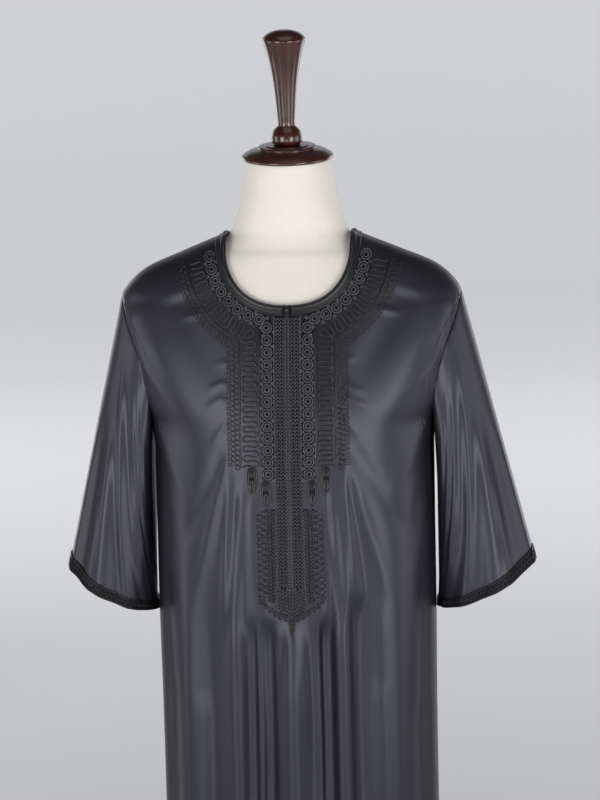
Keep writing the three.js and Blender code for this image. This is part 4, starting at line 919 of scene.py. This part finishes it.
# distance from the middle, radius and first height of the two rows of rings down each side
SIDE_RINGS = ((33.6, 3.1, 1131), (39.6, 3.3, 1126.9))
SIDE_RING_END, SIDE_RING_PITCH = 1022, 8.2
SCALLOPS = ((38.6, 1017), (33.6, 1011), (27.4, 1006), (20.8, 1001.6), (14, 998.0), (7.4, 995.5))
DROP_RINGS = ((990.5, 4.4), (984, 3.4), (978, 2.8), (973.4, 2.2))
RING_HEIGHT, RING_CORD = 0.8, 1.7

tongue_strands = []
for sign in (-1, 1):
    for column in TONGUE_CHAINS:
        low = float(np.interp(column, *TONGUE_SIDE_FOOT.T))
        tongue_strands += chain(column, low, TONGUE_TOP - 2, sign)
    for column in TONGUE_LINES:
        tongue_strands += running_stitch(sign * column, 1016 + 0.4 * (column - TONGUE_LINES[0]), TONGUE_TOP)
for column in np.arange(-16, 16.1, 4.0):
    low = float(np.interp(abs(column), *TONGUE_MIDDLE_FOOT.T))
    tongue_strands += chain(abs(column), low, ZIP_END_Z - 3, math.copysign(1, column))
tongue_strands.append(([laid(x, ZIP_END_Z - 3.5, 1.1)[0] for x in np.linspace(-4.5, 4.5, 6)], False))


def dotted_ring(x, z, radius, dot):
    """A ring with a smaller one inside."""
    return [ring(x, z, radius, radius, RING_HEIGHT, 12), ring(x, z, dot, dot, RING_HEIGHT, 8)]


ring_strands = []
for sign in (-1, 1):
    for step in range(math.ceil((SIDE_RINGS[0][2] - SIDE_RING_END) / SIDE_RING_PITCH)):
        for x, radius, first in SIDE_RINGS:
            z = first - step * SIDE_RING_PITCH
            ring_strands.append(ring(sign * x, z, radius, radius, RING_HEIGHT, 12))
    for x, z in SCALLOPS:
        ring_strands += dotted_ring(sign * x, z, 3.3, 1.0)
for z, radius in DROP_RINGS:
    ring_strands += dotted_ring(0, z, radius, radius * 0.45)
for name, marks in TONGUE_GROUNDS.items():
    side_ground = ground_patch(f"tongue_ground_{name}", marks)
    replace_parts(side_ground, "tongue")
ground_patch("tongue_foot", TONGUE_FOOT)
cord_piece("tongue_chains", tongue_strands, CHAIN_CORD, painted_glint_thread, roundness=0)
cord_piece("tongue_rings", ring_strands, RING_CORD)


# Zip
# A fine black coil zip behind the slit, closed to the top. Its tape is a narrow woven strip. Slider and
# pull tab are dark metal, the CAD pieces themselves.
ZIP_TOP_Z = 1379
TAPE_COLUMNS = (-1.4, -0.5, 0.5, 1.4)
COIL = {"pitch": 1.7, "beside": 0.55, "size": (0.9, 1.9, 0.7), "bevel": 0.15}
tape_finish, tape_tree, tape_shader = finish_of("zip_tape", (0.02, 0.02, 0.022), 0.7)
relief(tape_tree, tape_shader, grain(tape_tree, 1800, (1, 1, 0.5)), 0.0002)
rows = np.linspace(ZIP_END_Z + 1, ZIP_TOP_Z, 120)
tape_grid = np.array([[np.array(laid(x, z, -0.5)[0]) for x in TAPE_COLUMNS] for z in rows])
tape = cloth_piece("zip_tape_closed", tape_grid, tape_finish, thick=0.5)
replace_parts(tape, "zip_chain")

metal, metal_tree, metal_shader = finish_of("gunmetal", (0.16, 0.16, 0.17), 0.32, metallic=1.0)
metal_tree.links.new(
    between(metal_tree, grain(metal_tree, 700), (0.12, 0.12, 0.13), (0.2, 0.2, 0.21)),
    metal_shader.inputs["Base Color"],
)
relief(metal_tree, metal_shader, grain(metal_tree, 2500), 0.00002)
coil = bmesh.new()
for n, z in enumerate(np.arange(ZIP_END_Z + 2, ZIP_TOP_Z, COIL["pitch"])):
    place, out = laid(COIL["beside"] * (-1) ** n, z, 0.1)
    turned = out.to_track_quat("Z", "X").to_matrix().to_4x4()
    sized = Matrix.Diagonal((*(side * MM for side in COIL["size"]), 1))
    bmesh.ops.create_cube(coil, size=1, matrix=Matrix.Translation(place * MM) @ turned @ sized)
bmesh.ops.bevel(
    coil, geom=coil.edges, offset=COIL["bevel"] * MM, affect="EDGES", segments=1, profile=0.5, material=-1
)
coil_finish, coil_tree, coil_shader = finish_of("zip_coil", (0.03, 0.03, 0.033), 0.35)
relief(coil_tree, coil_shader, grain(coil_tree, 2500), 0.00003)
shown("zip_coil_teeth", coil, coil_finish)
for node in ("zip_slider", "zip_pull_tab"):
    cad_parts[node].data.materials.clear()
    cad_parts[node].data.materials.append(metal)


# Dress form
# A limbless padded body on a pole, covered with cream linen jersey that is stretched smooth over it and up
# the neck. It has no arms and ends at the hips.
# height, half width, depth to the front, depth to the back, squareness
FORM_RINGS = np.array([
    (800, 152, 88, 92, 2.3), (860, 164, 98, 104, 2.3), (930, 168, 104, 106, 2.3), (1010, 158, 100, 96, 2.3),
    (1090, 150, 98, 88, 2.3), (1170, 162, 108, 96, 2.3), (1235, 174, 114, 106, 2.2),
    (1300, 192, 110, 108, 2.1), (1340, 206, 103, 105, 2.1), (1370, 214, 94.5, 100, 2),
    (1396, 213.5, 82, 92, 2), (1412, 205.5, 77, 86.5, 2), (1430, 184, 71, 78.5, 2),
    (1450, 138, 64.5, 68, 2), (1462, 104, 58, 57, 2), (1480, 76.5, 55, 51, 2), (1512, 66, 58, 53, 2),
    (1545, 60, 60, 48, 2), (1574, 57, 64, 42, 2),
])
NECK_LEAN = math.radians(8)
NECK_FOOT_Z, NECK_TOP_Z, NECK_SHIFT = 1480, 1574, 11
form_half, form_front, form_back, form_power = (curve_of(FORM_RINGS, k) for k in (1, 2, 3, 4))
heights = np.r_[
    np.linspace(800, 1380, 60), np.linspace(1385, NECK_FOOT_Z, 40), np.linspace(1484, NECK_TOP_Z, 26),
]
turn = np.linspace(0, 2 * math.pi, 129)
power = 2 / form_power(heights)[:, None]
cosine, sine = np.cos(turn)[None, :], np.sin(turn)[None, :]
depth = np.where(sine > 0, form_back(heights)[:, None], form_front(heights)[:, None])
x = np.sign(cosine) * np.abs(cosine) ** power * form_half(heights)[:, None]
y = np.sign(sine) * np.abs(sine) ** power * depth
leaning = ease((heights[:, None] - NECK_FOOT_Z) / (NECK_TOP_Z - NECK_FOOT_Z))
z = heights[:, None] + leaning * (y + NECK_SHIFT) * math.tan(NECK_LEAN)
cover = bmesh.new()
bmesh.ops.create_grid(cover, x_segments=128, y_segments=len(heights) - 1, size=1)
for vertex, place in zip(cover.verts, (np.stack([x, y, z], axis=2).reshape(-1, 3) * MM).tolist()):
    vertex.co = place
bmesh.ops.remove_doubles(cover, verts=cover.verts, dist=1e-6)
bmesh.ops.holes_fill(cover, edges=[e for e in cover.edges if e.is_boundary])
bmesh.ops.recalc_face_normals(cover, faces=cover.faces)
jersey, jersey_tree, jersey_shader = finish_of(
    "linen_jersey", (0.82, 0.77, 0.70), 0.85, specular=0.2, sheen=0.15
)
jersey_tree.links.new(
    between(jersey_tree, grain(jersey_tree, 900), (0.68, 0.645, 0.585), (0.78, 0.75, 0.695)),
    jersey_shader.inputs["Base Color"],
)
relief(jersey_tree, jersey_shader, grain(jersey_tree, 650, (1, 1, 2.2), 2), 0.0004, 0.6)
form = shown("form_cover", cover, jersey)
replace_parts(form, "form_body")


# Neck cap, finial, pole and base
# Turned beech, stained dark red-brown and varnished: a shallow cap on the neck, a ball and a tall waisted
# finial on it. The pole is lacquered steel, the base another turned piece.
# radius and height of each profile's points
CAP = [
    (0, 0.3), (55, 0.3), (57.6, 0.4), (58.8, 1.2), (59.2, 2.8), (58.6, 4.6), (57.2, 5.6), (54.5, 7.4),
    (50, 9.8), (45, 11.4), (41, 12.4), (37.6, 13.0), (37.0, 13.8), (37.4, 14.9), (36.6, 16), (34, 16.5),
    (29.4, 16.6), (29.0, 16.9), (28.6, 17.6), (27.4, 17.9), (0, 18.0),
]
FINIAL = [
    (0, 18.1), (14, 18.1), (17.2, 19), (19.4, 21.6), (20.2, 25), (20.0, 29), (18.7, 33.4), (16.2, 37.4),
    (13, 40.4), (11.4, 42.4), (11.1, 46), (11.6, 53), (12.6, 66), (14.2, 84), (16.6, 104), (19.4, 120),
    (22.4, 134), (25.2, 144), (27.2, 151), (27.5, 153), (26.6, 155.2), (24, 158), (19, 161.2), (10, 164.2),
    (0, 165),
]
BASE = [
    (0, 0), (180, 0), (187, 0.4), (189.6, 3), (190, 8), (189.6, 13), (187, 17.6), (180, 20.4), (150, 23.4),
    (90, 25.2), (36, 26.4), (31, 27.4), (22, 28), (0, 28),
]
POLE = [(0, 28), (13.2, 28), (14, 28.4), (14, 200), (14, 500), (14, 799.6), (13.2, 800), (0, 800)]
varnish, varnish_tree, varnish_shader = finish_of("varnished_wood", (0.04, 0.008, 0.005), 0.3, specular=0.5)
varnish_shader.inputs["Coat Weight"].default_value = 0.45
varnish_shader.inputs["Coat Roughness"].default_value = 0.14
varnish_grain = grain(varnish_tree, 18, (4, 4, 0.35), 5)
varnish_tree.links.new(
    between(varnish_tree, varnish_grain, (0.022, 0.0045, 0.003), (0.062, 0.013, 0.008)),
    varnish_shader.inputs["Base Color"],
)


def turned_piece(name, profile, material, place=None, segments=96):
    """Turns a profile of radius and height about the upright axis, smoothed between its points."""
    marks = np.array(profile, float)
    steps = np.diff(marks, axis=0)
    lengths = np.linalg.norm(steps, axis=1)
    fine = np.linspace(0, len(steps), 3 * len(steps) + 1)
    before, after = np.r_[lengths[:1], lengths], np.r_[lengths, lengths[-1:]]
    through = np.r_[steps[:1], steps] / before[:, None] + np.r_[steps, steps[-1:]] / after[:, None]
    pull = through / 2 * np.minimum(before, after)[:, None]
    i = np.minimum(fine.astype(int), len(marks) - 2)
    f = (fine - i)[:, None]
    line = (marks[i] * (2 * f ** 3 - 3 * f ** 2 + 1) + pull[i] * (f ** 3 - 2 * f ** 2 + f)
            + marks[i + 1] * (-2 * f ** 3 + 3 * f ** 2) + pull[i + 1] * (f ** 3 - f ** 2))
    bm = bmesh.new()
    points = [bm.verts.new((max(0, r) * MM, 0, z * MM)) for r, z in line]
    edges = [bm.edges.new(pair) for pair in zip(points, points[1:])]
    bmesh.ops.spin(
        bm, geom=points + edges, cent=(0, 0, 0), axis=(0, 0, 1), dvec=(0, 0, 0), angle=2 * math.pi,
        steps=segments, use_merge=True,
    )
    bmesh.ops.remove_doubles(bm, verts=bm.verts, dist=1e-6)
    bmesh.ops.recalc_face_normals(bm, faces=bm.faces)
    if place:
        bmesh.ops.transform(bm, matrix=place, verts=bm.verts)
    return shown(name, bm, material)


on_neck = Matrix.Translation((0, -NECK_SHIFT * MM, NECK_TOP_Z * MM)) @ Matrix.Rotation(NECK_LEAN, 4, "X")
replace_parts(turned_piece("cap_turning", CAP, varnish, on_neck, 128), "form_neck_cap")
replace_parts(turned_piece("finial_turning", FINIAL, varnish, on_neck), "form_finial")
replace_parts(turned_piece("base_turning", BASE, varnish, None, 128), "form_base")
steel, steel_tree, steel_shader = finish_of("lacquered_steel", (0.05, 0.05, 0.052), 0.3, metallic=0.6)
relief(steel_tree, steel_shader, grain(steel_tree, 400), 0.00005)
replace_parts(turned_piece("pole_tube", POLE, steel, None, 48), "form_pole")
